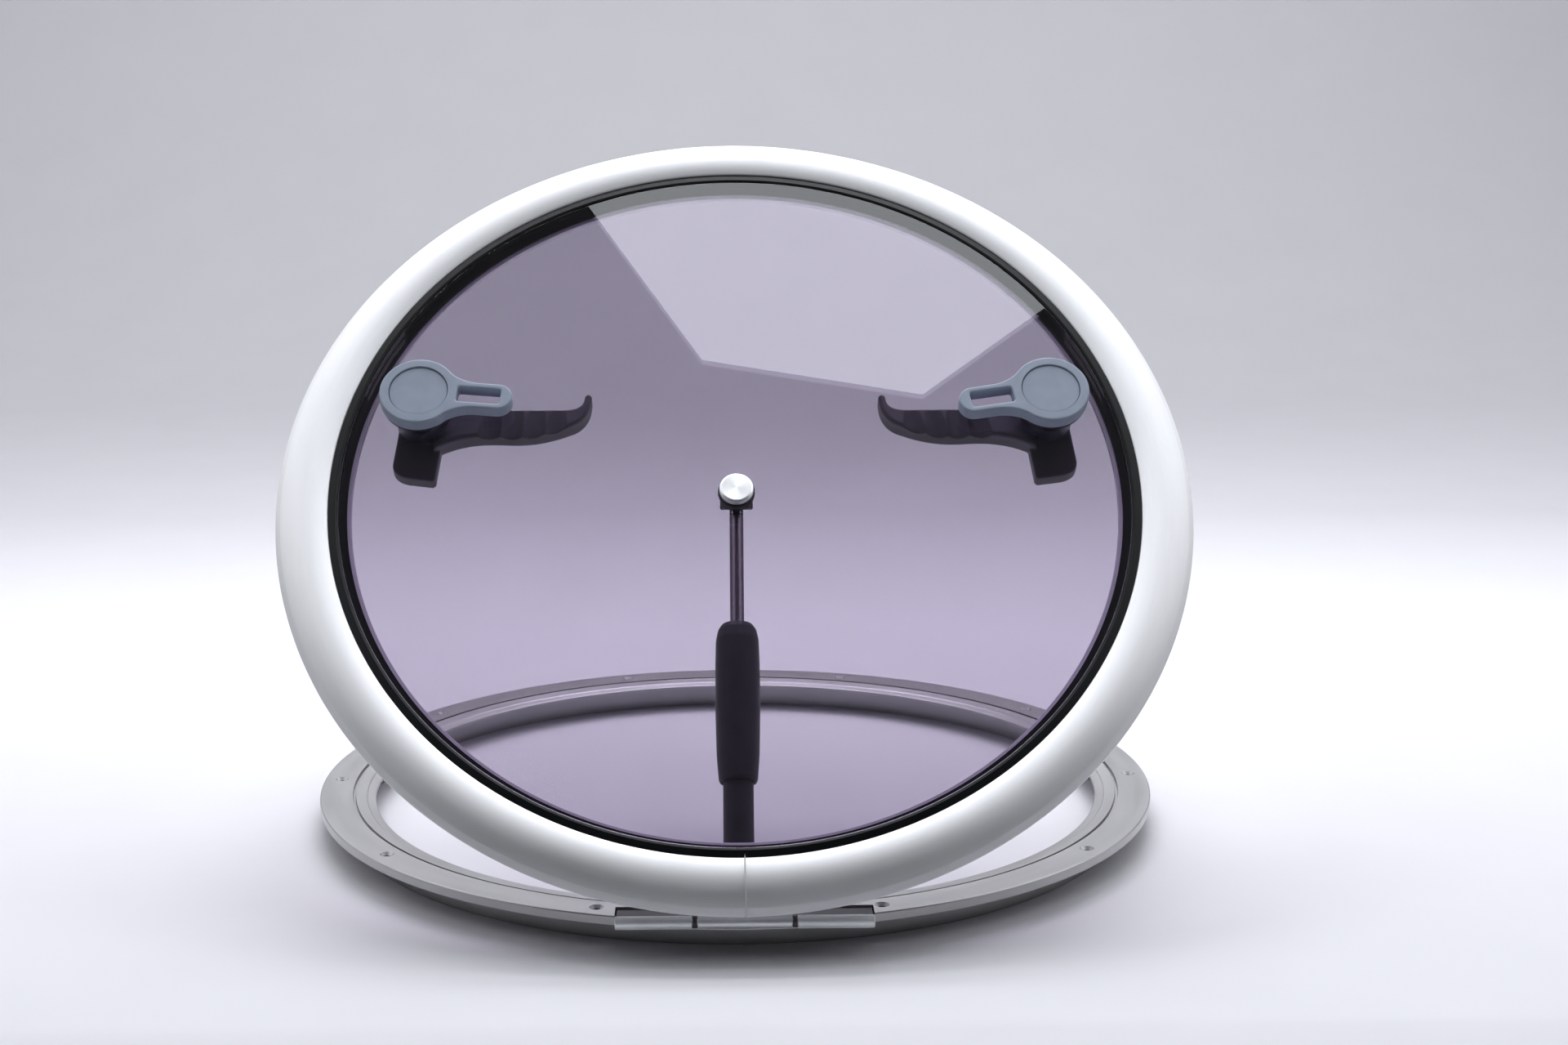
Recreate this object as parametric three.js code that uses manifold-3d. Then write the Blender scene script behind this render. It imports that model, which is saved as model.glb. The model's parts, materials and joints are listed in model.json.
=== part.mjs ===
// Round deck hatch, built as it comes apart on a bench. Millimetres, +Z up.
//
// A flanged base ring sits in a round cut-out of the deck. A domed lid ring carries a bonded
// acrylic pane and turns on a three-knuckle hinge at the front (-Y). Two latch units go through
// the pane near its left and right edges, and a telescopic stay with a twist-lock grip holds the
// lid open. The lid is drawn open by lidOpening, which is the rest position.
//
// The base is drawn with the flange's axis at x = y = 0 and the flange's top face at z = 0. The
// lid is drawn closed in that same frame and then turned about the hinge pin.

import * as THREE from 'three';
import { mergeVertices } from 'three/addons/utils/BufferGeometryUtils.js';
import Module from 'manifold-3d';

const wasm = await Module();
wasm.setup();

// ---------------------------------------------------------------- driving dimensions

const gap = 0.3; // clearance left between pieces that touch
const degree = Math.PI / 180;

// base ring
const flangeRadius = 250;
const flangeThickness = 5.4;
const openingRadius = 217;
const spigotInnerRadius = 229;
const spigotWall = 3.5;
const baseDepth = 19.5; // from the flange's top face down to the foot of the spigot
const lipThickness = 4.6;
const grooveRadius = 229.9;
const screwCircleRadius = 239.7;
const screwCount = 10;
const screwHoleRadius = 2.4;
const countersinkRadius = 4;

// hinge
const hingeCentreX = 2.6;
const hingeY = -253;
const hingeZ = 0.5;
const knuckleRadius = 3.25;
const knuckleBore = 1.85;
const pinRadius = 1.5;
const lidKnuckleHalf = 24.1;
const washerThickness = 2.2;
const hingeHalfLength = 66.2;
const notchHalfWidth = 66.9;
const notchBackY = -228.3;
const notchFloor = -4.2;
const leafEdgeY = notchBackY - 0.5;

// lid
const lidOpening = 46.14 * degree;
const paneRadius = 221;
const paneBottom = 10.3;
const paneTop = 20.3;
const lidInnerRadius = 226.5;
const lidInnerTop = 20.5;
const domeRadius = 25.5;
const domeStart = -24 * degree;
const domeEnd = 38 * degree;
const noseRadius = 256;
const skirtRadius = 250;
const skirtBottom = 1.5;
const ledgeRadius = 214.3;
const ledgeBottom = 5.6;
const ledgeTop = 8.6;

// latch units
const latchX = 179.5;
const latchY = 58.5;
const latchRestTurn = { left: 5.5 * degree, right: 9.5 * degree };
const latchSlack = { left: 0, right: 3.5 * degree }; // inner handle behind its outer handle
const handleBottom = 22.8;
const handleTop = 31.3;
const handleDiscRadius = 22;
const handleReach = 53.5;
const spindleRadius = 6.5;
const bushRadius = 9.3;
const hubRadius = 15;
const hubBottom = -12;
const tongueReach = 38.8;
const tongueOuterSide = 13.6;
const tongueInnerSide = 12.2;
const tongueTop = -5.2;
const tongueBottom = -14;

// stay
const stayPivot = { y: -5.5, z: 1 }; // in the closed lid
const stayFoot = { y: -212.5, z: -9 }; // in the base
const knobRadius = 9.4;
const boltRadius = 3;
const boltFoot = 8.4;
const rodRadius = 3.83;
const tubeRadius = 8.25;
const tubeBore = 7;
const tubeStart = 15.3;
const tubeEnd = 151.8;
const gripStart = 69;
const gripEnd = 159;

// The origin is at the middle of the overall box, on the level that the spigot stands on.
const originOffsetY = 7.408;

// ---------------------------------------------------------------- materials

function material(color, roughness, metalness, extra = {}) {
  return new THREE.MeshStandardMaterial({ color, roughness, metalness, ...extra });
}

const satinAluminium = material(0xd6d8da, 0.32, 0.9);
const castGrey = material(0xa6a8aa, 0.5, 0.7);
const stainless = material(0xc4c7ca, 0.25, 1);
const brushedCap = material(0xdfe1e3, 0.28, 0.95);
const chromeRod = material(0x9a97a3, 0.12, 1);
const blackSealant = material(0x15171b, 0.3, 0);
const blackRubber = material(0x1a1b1d, 0.75, 0);
const blackNylon = material(0x1c1c22, 0.5, 0);
const greyNylon = material(0x7d8b97, 0.5, 0);
const smokeAcrylic = material(0x8f8799, 0.05, 0, { transparent: true, opacity: 0.45 });

// ---------------------------------------------------------------- geometry helpers

// One closed body: corners merged, empty triangles dropped and faces turned outwards.
function tidy(geometry) {
  const bare = geometry.clone();
  bare.deleteAttribute('normal');
  bare.deleteAttribute('uv');
  const merged = mergeVertices(bare, 1e-4);
  const corner = merged.index.array;
  const kept = [];
  for (let i = 0; i < corner.length; i += 3) {
    const [a, b, c] = [corner[i], corner[i + 1], corner[i + 2]];
    if (a !== b && b !== c && c !== a) kept.push(a, b, c);
  }
  merged.setIndex(kept);
  if (signedVolume(merged) < 0) merged.setIndex(kept.reverse());
  return merged;
}

function signedVolume(geometry) {
  const place = geometry.attributes.position;
  const corner = geometry.index.array;
  const [a, b, c] = [new THREE.Vector3(), new THREE.Vector3(), new THREE.Vector3()];
  let sum = 0;
  for (let i = 0; i < corner.length; i += 3) {
    a.fromBufferAttribute(place, corner[i]);
    b.fromBufferAttribute(place, corner[i + 1]);
    c.fromBufferAttribute(place, corner[i + 2]);
    sum += a.dot(b.cross(c));
  }
  return sum / 6;
}

// A profile of [radius, z] points turned about the z axis. A ring's profile closes on itself.
function turned(points, segments = 72) {
  const outline = points.map(([r, z]) => new THREE.Vector2(r, z));
  const isRing = points.every(([r]) => r > 0);
  if (isRing) outline.push(outline[0].clone());
  const geometry = new THREE.LatheGeometry(outline, segments);
  geometry.rotateX(Math.PI / 2);
  return tidy(geometry);
}

// A rectangular ring section turned about the z axis.
function sleeve(innerRadius, outerRadius, bottom, top, segments = 24) {
  const [inner, outer] = [innerRadius, outerRadius];
  return turned([[inner, bottom], [outer, bottom], [outer, top], [inner, top]], segments);
}

function disc(radius, bottom, top, segments = 24) {
  return turned([[0, bottom], [radius, bottom], [radius, top], [0, top]], segments);
}

// A flat outline raised from bottom to top, with its edges rounded by the given amount.
function raised(shape, bottom, top, rounding = 0, curveSegments = 7) {
  const geometry = new THREE.ExtrudeGeometry(shape, {
    depth: top - bottom - 2 * rounding,
    bevelEnabled: rounding > 0,
    bevelThickness: rounding,
    bevelSize: rounding,
    bevelOffset: -rounding,
    bevelSegments: 2,
    curveSegments,
  });
  geometry.translate(0, 0, bottom + rounding);
  return tidy(geometry);
}

function block([x0, x1], [y0, y1], [z0, z1]) {
  const geometry = new THREE.BoxGeometry(x1 - x0, y1 - y0, z1 - z0);
  geometry.translate((x0 + x1) / 2, (y0 + y1) / 2, (z0 + z1) / 2);
  return tidy(geometry);
}

// A round bar along X, from x0 to x1, about the point (y, z).
function crossBar(radius, x0, x1, y = 0, z = 0, segments = 24) {
  const geometry = new THREE.CylinderGeometry(radius, radius, x1 - x0, segments);
  geometry.rotateZ(Math.PI / 2);
  geometry.translate((x0 + x1) / 2, y, z);
  return tidy(geometry);
}

function moved(geometry, x, y, z) {
  return geometry.clone().translate(x, y, z);
}

function toSolid(geometry) {
  const vertProperties = Float32Array.from(geometry.attributes.position.array);
  const triVerts = Uint32Array.from(geometry.index.array);
  return new wasm.Manifold(new wasm.Mesh({ numProp: 3, vertProperties, triVerts }));
}

function toGeometry(solid) {
  const { vertProperties, triVerts } = solid.getMesh();
  const geometry = new THREE.BufferGeometry();
  geometry.setAttribute('position', new THREE.BufferAttribute(vertProperties, 3));
  geometry.setIndex([...triVerts]);
  return geometry;
}

function join(...pieces) {
  return toGeometry(pieces.map(toSolid).reduce((sum, next) => sum.add(next)));
}

function cut(piece, ...tools) {
  return toGeometry(tools.map(toSolid).reduce((rest, tool) => rest.subtract(tool), toSolid(piece)));
}

function add(parent, name, geometry, look) {
  const mesh = new THREE.Mesh(geometry, look);
  mesh.name = name;
  parent.add(mesh);
}

// ---------------------------------------------------------------- assembly frames

const group = new THREE.Group();

const base = new THREE.Group();
base.position.set(0, originOffsetY, baseDepth);
group.add(base);

const lidPivot = new THREE.Group();
lidPivot.position.set(0, hingeY, hingeZ);
lidPivot.rotation.x = lidOpening;
base.add(lidPivot);

const lid = new THREE.Group(); // the closed lid's frame, the same as the base's when closed
lid.position.set(0, -hingeY, -hingeZ);
lidPivot.add(lid);

// ---------------------------------------------------------------- base ring

function countersunkHole(angle) {
  const tool = turned([
    [0, -flangeThickness - 1],
    [screwHoleRadius, -flangeThickness - 1],
    [screwHoleRadius, screwHoleRadius - countersinkRadius],
    [countersinkRadius, 0],
    [countersinkRadius, 1],
    [0, 1],
  ], 16);
  return moved(tool, screwCircleRadius * Math.cos(angle), screwCircleRadius * Math.sin(angle), 0);
}

// The flange and the sloped lip inside it.
function baseRing() {
  const lipEdge = openingRadius + 0.7;
  const seatInnerRadius = spigotInnerRadius + spigotWall + gap; // a shallow step inside it holds the spigot
  const body = turned([
    [flangeRadius - 0.8, 0],
    [flangeRadius, -0.8],
    [flangeRadius, -flangeThickness],
    [seatInnerRadius, -flangeThickness],
    [seatInnerRadius, gap - flangeThickness],
    [spigotInnerRadius - 0.9, gap - flangeThickness],
    [spigotInnerRadius - 1.4, -lipThickness],
    [lipEdge, -lipThickness],
    [openingRadius, 0.6 - lipThickness],
    [openingRadius, -3.2],
    [lipEdge, -2.5],
    [grooveRadius - 0.8, -0.2],
    [grooveRadius, -1.2],
    [grooveRadius + 0.7, 0],
  ]);
  const pitch = (360 / screwCount) * degree;
  const screwAngles = Array.from({ length: screwCount }, (_, i) => -Math.PI / 2 + (i + 0.5) * pitch);
  const notch = block(
    [hingeCentreX - notchHalfWidth, hingeCentreX + notchHalfWidth],
    [-flangeRadius - 5, notchBackY],
    [notchFloor, 1],
  );
  const rivetHole = disc(rivetRadius + gap, -flangeThickness - 1, notchFloor + 1, 12);
  const rivetHoles = rivetPlaces.map((x) => moved(rivetHole, x, rivetY, 0));
  return cut(body, notch, ...screwAngles.map(countersunkHole), ...rivetHoles);
}

// The short tube under the flange that lines the cut-out and carries the stay's foot.
function baseSpigot() {
  const outerRadius = spigotInnerRadius + spigotWall;
  const tube = sleeve(spigotInnerRadius, outerRadius, -baseDepth, -flangeThickness, 72);
  return cut(tube, ...bracketScrewPlaces.map(wallHole));
}

// A hole through the spigot's front wall, for a screw along -Y.
function wallHole(x) {
  const geometry = new THREE.CylinderGeometry(2, 2, 12, 12);
  geometry.translate(x, -spigotInnerRadius - 2, bracketScrewZ);
  return tidy(geometry);
}

// ---------------------------------------------------------------- hinge

const rivetY = -243.6;
const rivetPlaces = [-46, 0, 46].map((x) => hingeCentreX + x);
const rivetRadius = 1.9;
const baseLeafTop = -1.3;
const lidLeafBottom = 1.75;
const lidScrewPlaces = [-14, 14].map((x) => hingeCentreX + x);
const lidScrewY = -241;

function baseLeaf() {
  const outerStart = lidKnuckleHalf + washerThickness + 2 * gap;
  const floor = notchFloor + gap;
  const middle = block([-hingeHalfLength, hingeHalfLength], [-248.6, leafEdgeY], [floor, baseLeafTop]);
  const cheeks = [-1, 1].flatMap((side) => {
    const ends = [side * outerStart, side * hingeHalfLength].sort((a, b) => a - b);
    return [
      block(ends, [-251.5, leafEdgeY - 2], [floor, baseLeafTop]),
      crossBar(knuckleRadius, ...ends, hingeY, hingeZ),
    ];
  });
  const bore = crossBar(knuckleBore, -hingeHalfLength - 1, hingeHalfLength + 1, hingeY, hingeZ);
  const rivetSeats = rivetPlaces.map((x) => moved(rivetShape(gap), x - hingeCentreX, rivetY, 0));
  return moved(cut(join(middle, ...cheeks), bore, ...rivetSeats), hingeCentreX, 0, 0);
}

// A rivet with a flush cone head, grown by the given clearance to cut its own seat.
function rivetShape(clearance) {
  const top = baseLeafTop + (clearance ? 1 : 0);
  return turned([
    [0, -flangeThickness - clearance],
    [rivetRadius + clearance, -flangeThickness - clearance],
    [rivetRadius + clearance, baseLeafTop - 1.4 - clearance],
    [rivetRadius + 1.4 + clearance, baseLeafTop],
    [rivetRadius + 1.4 + clearance, top + 0.001],
    [0, top + 0.001],
  ], 16);
}

function lidLeaf() {
  const top = hingeZ + knuckleRadius;
  const plate = block([-lidKnuckleHalf, lidKnuckleHalf], [hingeY, -233.5], [lidLeafBottom, top]);
  const knuckle = crossBar(knuckleRadius, -lidKnuckleHalf, lidKnuckleHalf, hingeY, hingeZ);
  const bore = crossBar(knuckleBore, -lidKnuckleHalf - 1, lidKnuckleHalf + 1, hingeY, hingeZ);
  const seats = lidScrewPlaces.map((x) => moved(lidScrewShape(gap), x - hingeCentreX, lidScrewY, 0));
  return moved(cut(join(plate, knuckle), bore, ...seats), hingeCentreX, 0, 0);
}

// A countersunk screw driven upwards through the lid leaf into the lid ring.
function lidScrewShape(clearance) {
  const headRadius = 3.4 + clearance;
  const shankRadius = 1.9 + clearance;
  const bottom = lidLeafBottom - (clearance ? 1 : 0);
  return turned([
    [0, bottom],
    [headRadius, bottom],
    [headRadius, lidLeafBottom + 0.2],
    [shankRadius, lidLeafBottom + 1.7],
    [shankRadius, 10 + clearance],
    [0, 10 + clearance],
  ], 16);
}

function hinge() {
  add(base, 'hinge_base_leaf', baseLeaf(), stainless);
  const pinHalf = hingeHalfLength - 0.6;
  const pin = crossBar(pinRadius, -pinHalf, pinHalf, hingeY, hingeZ, 16);
  add(base, 'hinge_pin', moved(pin, hingeCentreX, 0, 0), stainless);
  const washerPlaces = { left: -1, right: 1 };
  for (const [name, side] of Object.entries(washerPlaces)) {
    const ring = sleeve(knuckleBore, knuckleRadius - 0.25, -washerThickness / 2, washerThickness / 2, 20);
    ring.rotateY(Math.PI / 2);
    const x = hingeCentreX + side * (lidKnuckleHalf + gap + washerThickness / 2);
    add(base, `hinge_washer_${name}`, moved(ring, x, hingeY, hingeZ), blackNylon);
  }
  rivetPlaces.forEach((x, i) => {
    add(base, `hinge_rivet_${i + 1}`, moved(rivetShape(0), x, rivetY, 0), stainless);
  });
  add(lid, 'hinge_lid_leaf', lidLeaf(), stainless);
  lidScrewPlaces.forEach((x, i) => {
    add(lid, `hinge_lid_screw_${i + 1}`, moved(lidScrewShape(0), x, lidScrewY, 0), stainless);
  });
}

// ---------------------------------------------------------------- lid ring, glazing and seal

// Points of a dome arc of the given radius, from one lean to another.
function domeArc(radius, from, to, steps) {
  const centreR = lidInnerRadius - domeRadius * Math.sin(domeStart);
  const centreZ = lidInnerTop - domeRadius * Math.cos(domeStart);
  return Array.from({ length: steps + 1 }, (_, i) => {
    const lean = from + ((to - from) * i) / steps;
    return [centreR + radius * Math.sin(lean), centreZ + radius * Math.cos(lean)];
  });
}

function lidRing() {
  const skin = 4;
  const body = turned([
    ...domeArc(domeRadius, domeStart, domeEnd, 8),
    [noseRadius - 0.3, 13.9],
    [noseRadius, 13.2],
    [noseRadius - 0.5, 12.4],
    [skirtRadius + 0.6, 12],
    [skirtRadius, 11.4],
    [skirtRadius, skirtBottom],
    [skirtRadius - 2.6, skirtBottom],
    [skirtRadius - 2.6, 12],
    ...domeArc(domeRadius - skin, 24 * degree, -14 * degree, 3),
    [230.2, 15.5],
    [230.2, ledgeBottom],
    [ledgeRadius, ledgeBottom],
    [ledgeRadius, ledgeTop],
    [lidInnerRadius, ledgeTop],
  ]);
  const leafHalf = lidKnuckleHalf + 0.6;
  const leafTop = hingeZ + knuckleRadius + gap;
  const pad = block([hingeCentreX - 30, hingeCentreX + 30], [-246.5, -231], [leafTop, 15]);
  const leafGate = block([hingeCentreX - leafHalf, hingeCentreX + leafHalf], [-252, -232], [0, leafTop]);
  const screwHoles = lidScrewPlaces.map((x) => moved(disc(2.2, leafTop - 1, 10.3, 12), x, lidScrewY, 0));
  return cut(join(body, pad), leafGate, ...screwHoles);
}

function glazing() {
  const bedTop = paneBottom - gap;
  add(lid, 'lid_ring', lidRing(), satinAluminium);
  add(lid, 'glazing_sealant', turned([
    [216.6, ledgeTop + gap],
    [lidInnerRadius - gap, ledgeTop + gap],
    [lidInnerRadius - gap, paneTop],
    [paneRadius + gap, paneTop],
    [paneRadius + gap, bedTop],
    [216.6, bedTop],
  ], 72), blackSealant);
  const latchHole = disc(bushRadius + gap, paneBottom - 1, paneTop + 1, 24);
  const latchHoles = [-1, 1].map((side) => moved(latchHole, side * latchX, latchY, 0));
  const boltHole = moved(disc(boltRadius + 0.5, paneBottom - 1, paneTop + 1, 16), 0, stayPivot.y, 0);
  const blank = disc(paneRadius, paneBottom, paneTop, 96);
  add(lid, 'acrylic_pane', cut(blank, ...latchHoles, boltHole), smokeAcrylic);
  add(lid, 'lid_seal', turned([
    [219.5, ledgeBottom - gap],
    [219.5, 1.2],
    [221, -0.6],
    [223.5, -0.9],
    [226, -0.2],
    [227, 1.4],
    [227, ledgeBottom - gap],
  ], 72), blackRubber);
}

// ---------------------------------------------------------------- latch units

// Outline of the outer handle: a disc that runs through concave fillets into a slotted arm.
function outerHandleShape() {
  const armHalf = 8.6;
  const blend = 40 * degree;
  const onDisc = { x: handleDiscRadius * Math.cos(blend), y: handleDiscRadius * Math.sin(blend) };
  const shape = new THREE.Shape();
  shape.moveTo(onDisc.x, onDisc.y);
  shape.absarc(0, 0, handleDiscRadius, blend, 2 * Math.PI - blend, false);
  shape.quadraticCurveTo(23.5, -armHalf - 0.2, 33, -armHalf);
  shape.lineTo(handleReach - armHalf, -armHalf);
  shape.absarc(handleReach - armHalf, 0, armHalf, -Math.PI / 2, Math.PI / 2, false);
  shape.lineTo(33, armHalf);
  shape.quadraticCurveTo(23.5, armHalf + 0.2, onDisc.x, onDisc.y);
  shape.holes.push(roundedSlot(22, 46.5, 4.9, 1.6));
  return shape;
}

function roundedSlot(x0, x1, half, corner) {
  const slot = new THREE.Path();
  slot.moveTo(x0 + corner, -half);
  slot.lineTo(x1 - corner, -half);
  slot.absarc(x1 - corner, -half + corner, corner, -Math.PI / 2, 0, false);
  slot.absarc(x1 - corner, half - corner, corner, 0, Math.PI / 2, false);
  slot.absarc(x0 + corner, half - corner, corner, Math.PI / 2, Math.PI, false);
  slot.absarc(x0 + corner, -half + corner, corner, Math.PI, 1.5 * Math.PI, false);
  return slot;
}

// The inner lever runs out from the hub, bends towards +Y and ends in a thin upturned hook.
function leverShape() {
  const tip = { x: 92.5, y: 23.8, radius: 2.1 };
  const shape = new THREE.Shape();
  shape.moveTo(9, -20);
  shape.bezierCurveTo(19, -13, 28, -8.6, 46, -7.7);
  shape.bezierCurveTo(60, -7.6, 72, -4.6, 84.5, 2.6);
  shape.bezierCurveTo(90.5, 5.2, 94.4, 11.5, tip.x + tip.radius, 19);
  shape.absarc(tip.x, tip.y, tip.radius, 0, Math.PI, false);
  shape.bezierCurveTo(tip.x - tip.radius, 18, 88, 14.8, 79, 13.8);
  shape.lineTo(46, 10.6);
  shape.lineTo(6, 11);
  return shape;
}

// Finger grooves across the lever's upper face, deeper on its -Y side.
function fingerGrooves() {
  const grooveRadius = 9.3;
  const shallow = 1;
  const lean = 7 * degree;
  return [41, 55.5, 70].map((x) => {
    const bar = new THREE.CylinderGeometry(grooveRadius, grooveRadius, 60, 24);
    bar.rotateX(lean);
    return tidy(bar.translate(x, 12, grooveRadius - shallow));
  });
}

// The latch tongue points to -Y. Its outboard corner is rounded off to clear the spigot wall.
function tongueShape() {
  const shape = new THREE.Shape();
  shape.moveTo(-tongueOuterSide, 0);
  shape.lineTo(-tongueOuterSide, 11 - tongueReach);
  shape.quadraticCurveTo(-tongueOuterSide, 1.8 - tongueReach, -3, 0.5 - tongueReach);
  shape.lineTo(tongueInnerSide - 1.5, -tongueReach);
  shape.lineTo(tongueInnerSide, 1.5 - tongueReach);
  shape.lineTo(tongueInnerSide, 0);
  return shape;
}

// For the left side the arm and the lever point to +X; the right unit is its mirror image.
function latchUnit(name, side) {
  const unit = new THREE.Group();
  unit.position.set(-side * latchX, latchY, 0);
  unit.rotation.z = -side * latchRestTurn[name];
  lid.add(unit);
  const mirrored = (geometry) => tidy(geometry.clone().scale(side, 1, 1));

  const capSeat = 28;
  const capTop = 30.4;
  const handle = cut(
    raised(outerHandleShape(), handleBottom, handleTop, 1.1),
    disc(16.6, capSeat, handleTop + 1, 32),
    disc(5.3, handleBottom - 1, capSeat - 1.2, 16),
  );
  add(unit, `${name}_outer_handle`, mirrored(handle), greyNylon);
  add(unit, `${name}_handle_cap`, disc(16.2, capSeat + gap, capTop, 32), greyNylon);

  const spindleFoot = -8.7;
  const spindle = turned([
    [0, 0.5],
    [2.3, 0.5],
    [2.3, spindleFoot],
    [spindleRadius, spindleFoot],
    [spindleRadius, 13.4],
    [5.3, 13.4],
    [5.3, 16.2],
    [spindleRadius, 16.2],
    [spindleRadius, handleBottom - gap],
    [5, handleBottom - gap],
    [5, capSeat - 1.6],
    [0, capSeat - 1.6],
  ], 24);
  add(unit, `${name}_spindle`, spindle, stainless);
  add(unit, `${name}_o_ring`, sleeve(5.6, spindleRadius + 0.2, 13.8, 15.8, 20), blackRubber);

  const lever = cut(raised(leverShape(), hubBottom, 0, 1), ...fingerGrooves());
  const innerHandle = join(
    disc(hubRadius, hubBottom, 7.2, 32),
    mirrored(lever),
    mirrored(raised(tongueShape(), tongueBottom, tongueTop, 0.8)),
  ).rotateZ(side * latchSlack[name]);
  const bore = join(
    disc(spindleRadius + gap, spindleFoot - gap, 8, 20),
    disc(2.3, hubBottom - 3, spindleFoot, 12),
  );
  const screwSeat = disc(5, tongueBottom - 1, hubBottom, 16);
  add(unit, `${name}_inner_handle`, cut(innerHandle, bore, screwSeat), blackNylon);
  const headTop = hubBottom - gap;
  const screw = turned([
    [0, headTop - 2],
    [4, headTop - 2],
    [4.6, headTop - 1.2],
    [4.6, headTop],
    [1.9, headTop],
    [1.9, 0.2],
    [0, 0.2],
  ], 16);
  add(unit, `${name}_handle_screw`, screw, stainless);

  const atLid = (geometry) => moved(geometry, -side * latchX, latchY, 0);
  const bush = turned([
    [spindleRadius + 0.45, 7.6],
    [hubRadius + 1, 7.6],
    [hubRadius + 1, paneBottom - gap],
    [bushRadius, paneBottom - gap],
    [bushRadius, paneTop],
    [spindleRadius + 0.45, paneTop],
  ], 24);
  add(lid, `${name}_pane_bush`, atLid(bush), blackNylon);
  const gasket = sleeve(7.2, 19.5, paneTop + gap, handleBottom - gap, 32);
  add(lid, `${name}_handle_gasket`, atLid(gasket), blackRubber);
}

// ---------------------------------------------------------------- stay

const lugHalf = 2.2;
const bracketScrewZ = -14;
const bracketBackY = -227.9;
const bracketFaceY = -225.3;
const bracketScrewPlaces = [-11, 11];
const footEyeHalf = 4;
const footLugInner = 4.6;
const footLugOuter = 7;

// Where a point of the closed lid lies once the lid stands open.
function openedPlace({ y, z }) {
  const [dy, dz] = [y - hingeY, z - hingeZ];
  return {
    y: hingeY + dy * Math.cos(lidOpening) - dz * Math.sin(lidOpening),
    z: hingeZ + dy * Math.sin(lidOpening) + dz * Math.cos(lidOpening),
  };
}

function stayHead() {
  const knob = turned([
    [0, boltFoot],
    [boltRadius, boltFoot],
    [boltRadius, 23.6],
    [knobRadius, 23.6],
    [knobRadius, 26.6],
    [knobRadius - 0.6, 27.1],
    [0, 27.3],
  ], 32);
  add(lid, 'stay_bolt', moved(knob, 0, stayPivot.y, 0), brushedCap);
  const washer = sleeve(boltRadius + gap, 9.95, paneTop + gap, 23.3, 32);
  add(lid, 'stay_bolt_washer', moved(washer, 0, stayPivot.y, 0), blackRubber);

  const plateHalf = 9.15;
  const plateBottom = 6.8;
  const plateShape = new THREE.Shape();
  plateShape.moveTo(-plateHalf, paneBottom - gap);
  plateShape.lineTo(-plateHalf, plateBottom + 1.6);
  plateShape.lineTo(1.6 - plateHalf, plateBottom);
  plateShape.lineTo(plateHalf - 1.6, plateBottom);
  plateShape.lineTo(plateHalf, plateBottom + 1.6);
  plateShape.lineTo(plateHalf, paneBottom - gap);
  const plate = raised(plateShape, -4.4, 4.4).rotateX(Math.PI / 2);
  const lug = block([-lugHalf, lugHalf], [-3.4, 3.4], [stayPivot.z, 8]);
  const eye = crossBar(3.4, -lugHalf, lugHalf, 0, stayPivot.z, 20);
  const pinBore = crossBar(1.5, -5, 5, 0, stayPivot.z, 16);
  const boltSeat = disc(boltRadius + gap, boltFoot - gap, 12, 16);
  const clevis = cut(join(plate, lug, eye), pinBore, boltSeat);
  add(lid, 'stay_clevis', moved(clevis, 0, stayPivot.y, 0), blackNylon);
  add(lid, 'stay_clevis_pin', crossBar(1.2, -3.5, 3.5, stayPivot.y, stayPivot.z, 12), stainless);
}

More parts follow.
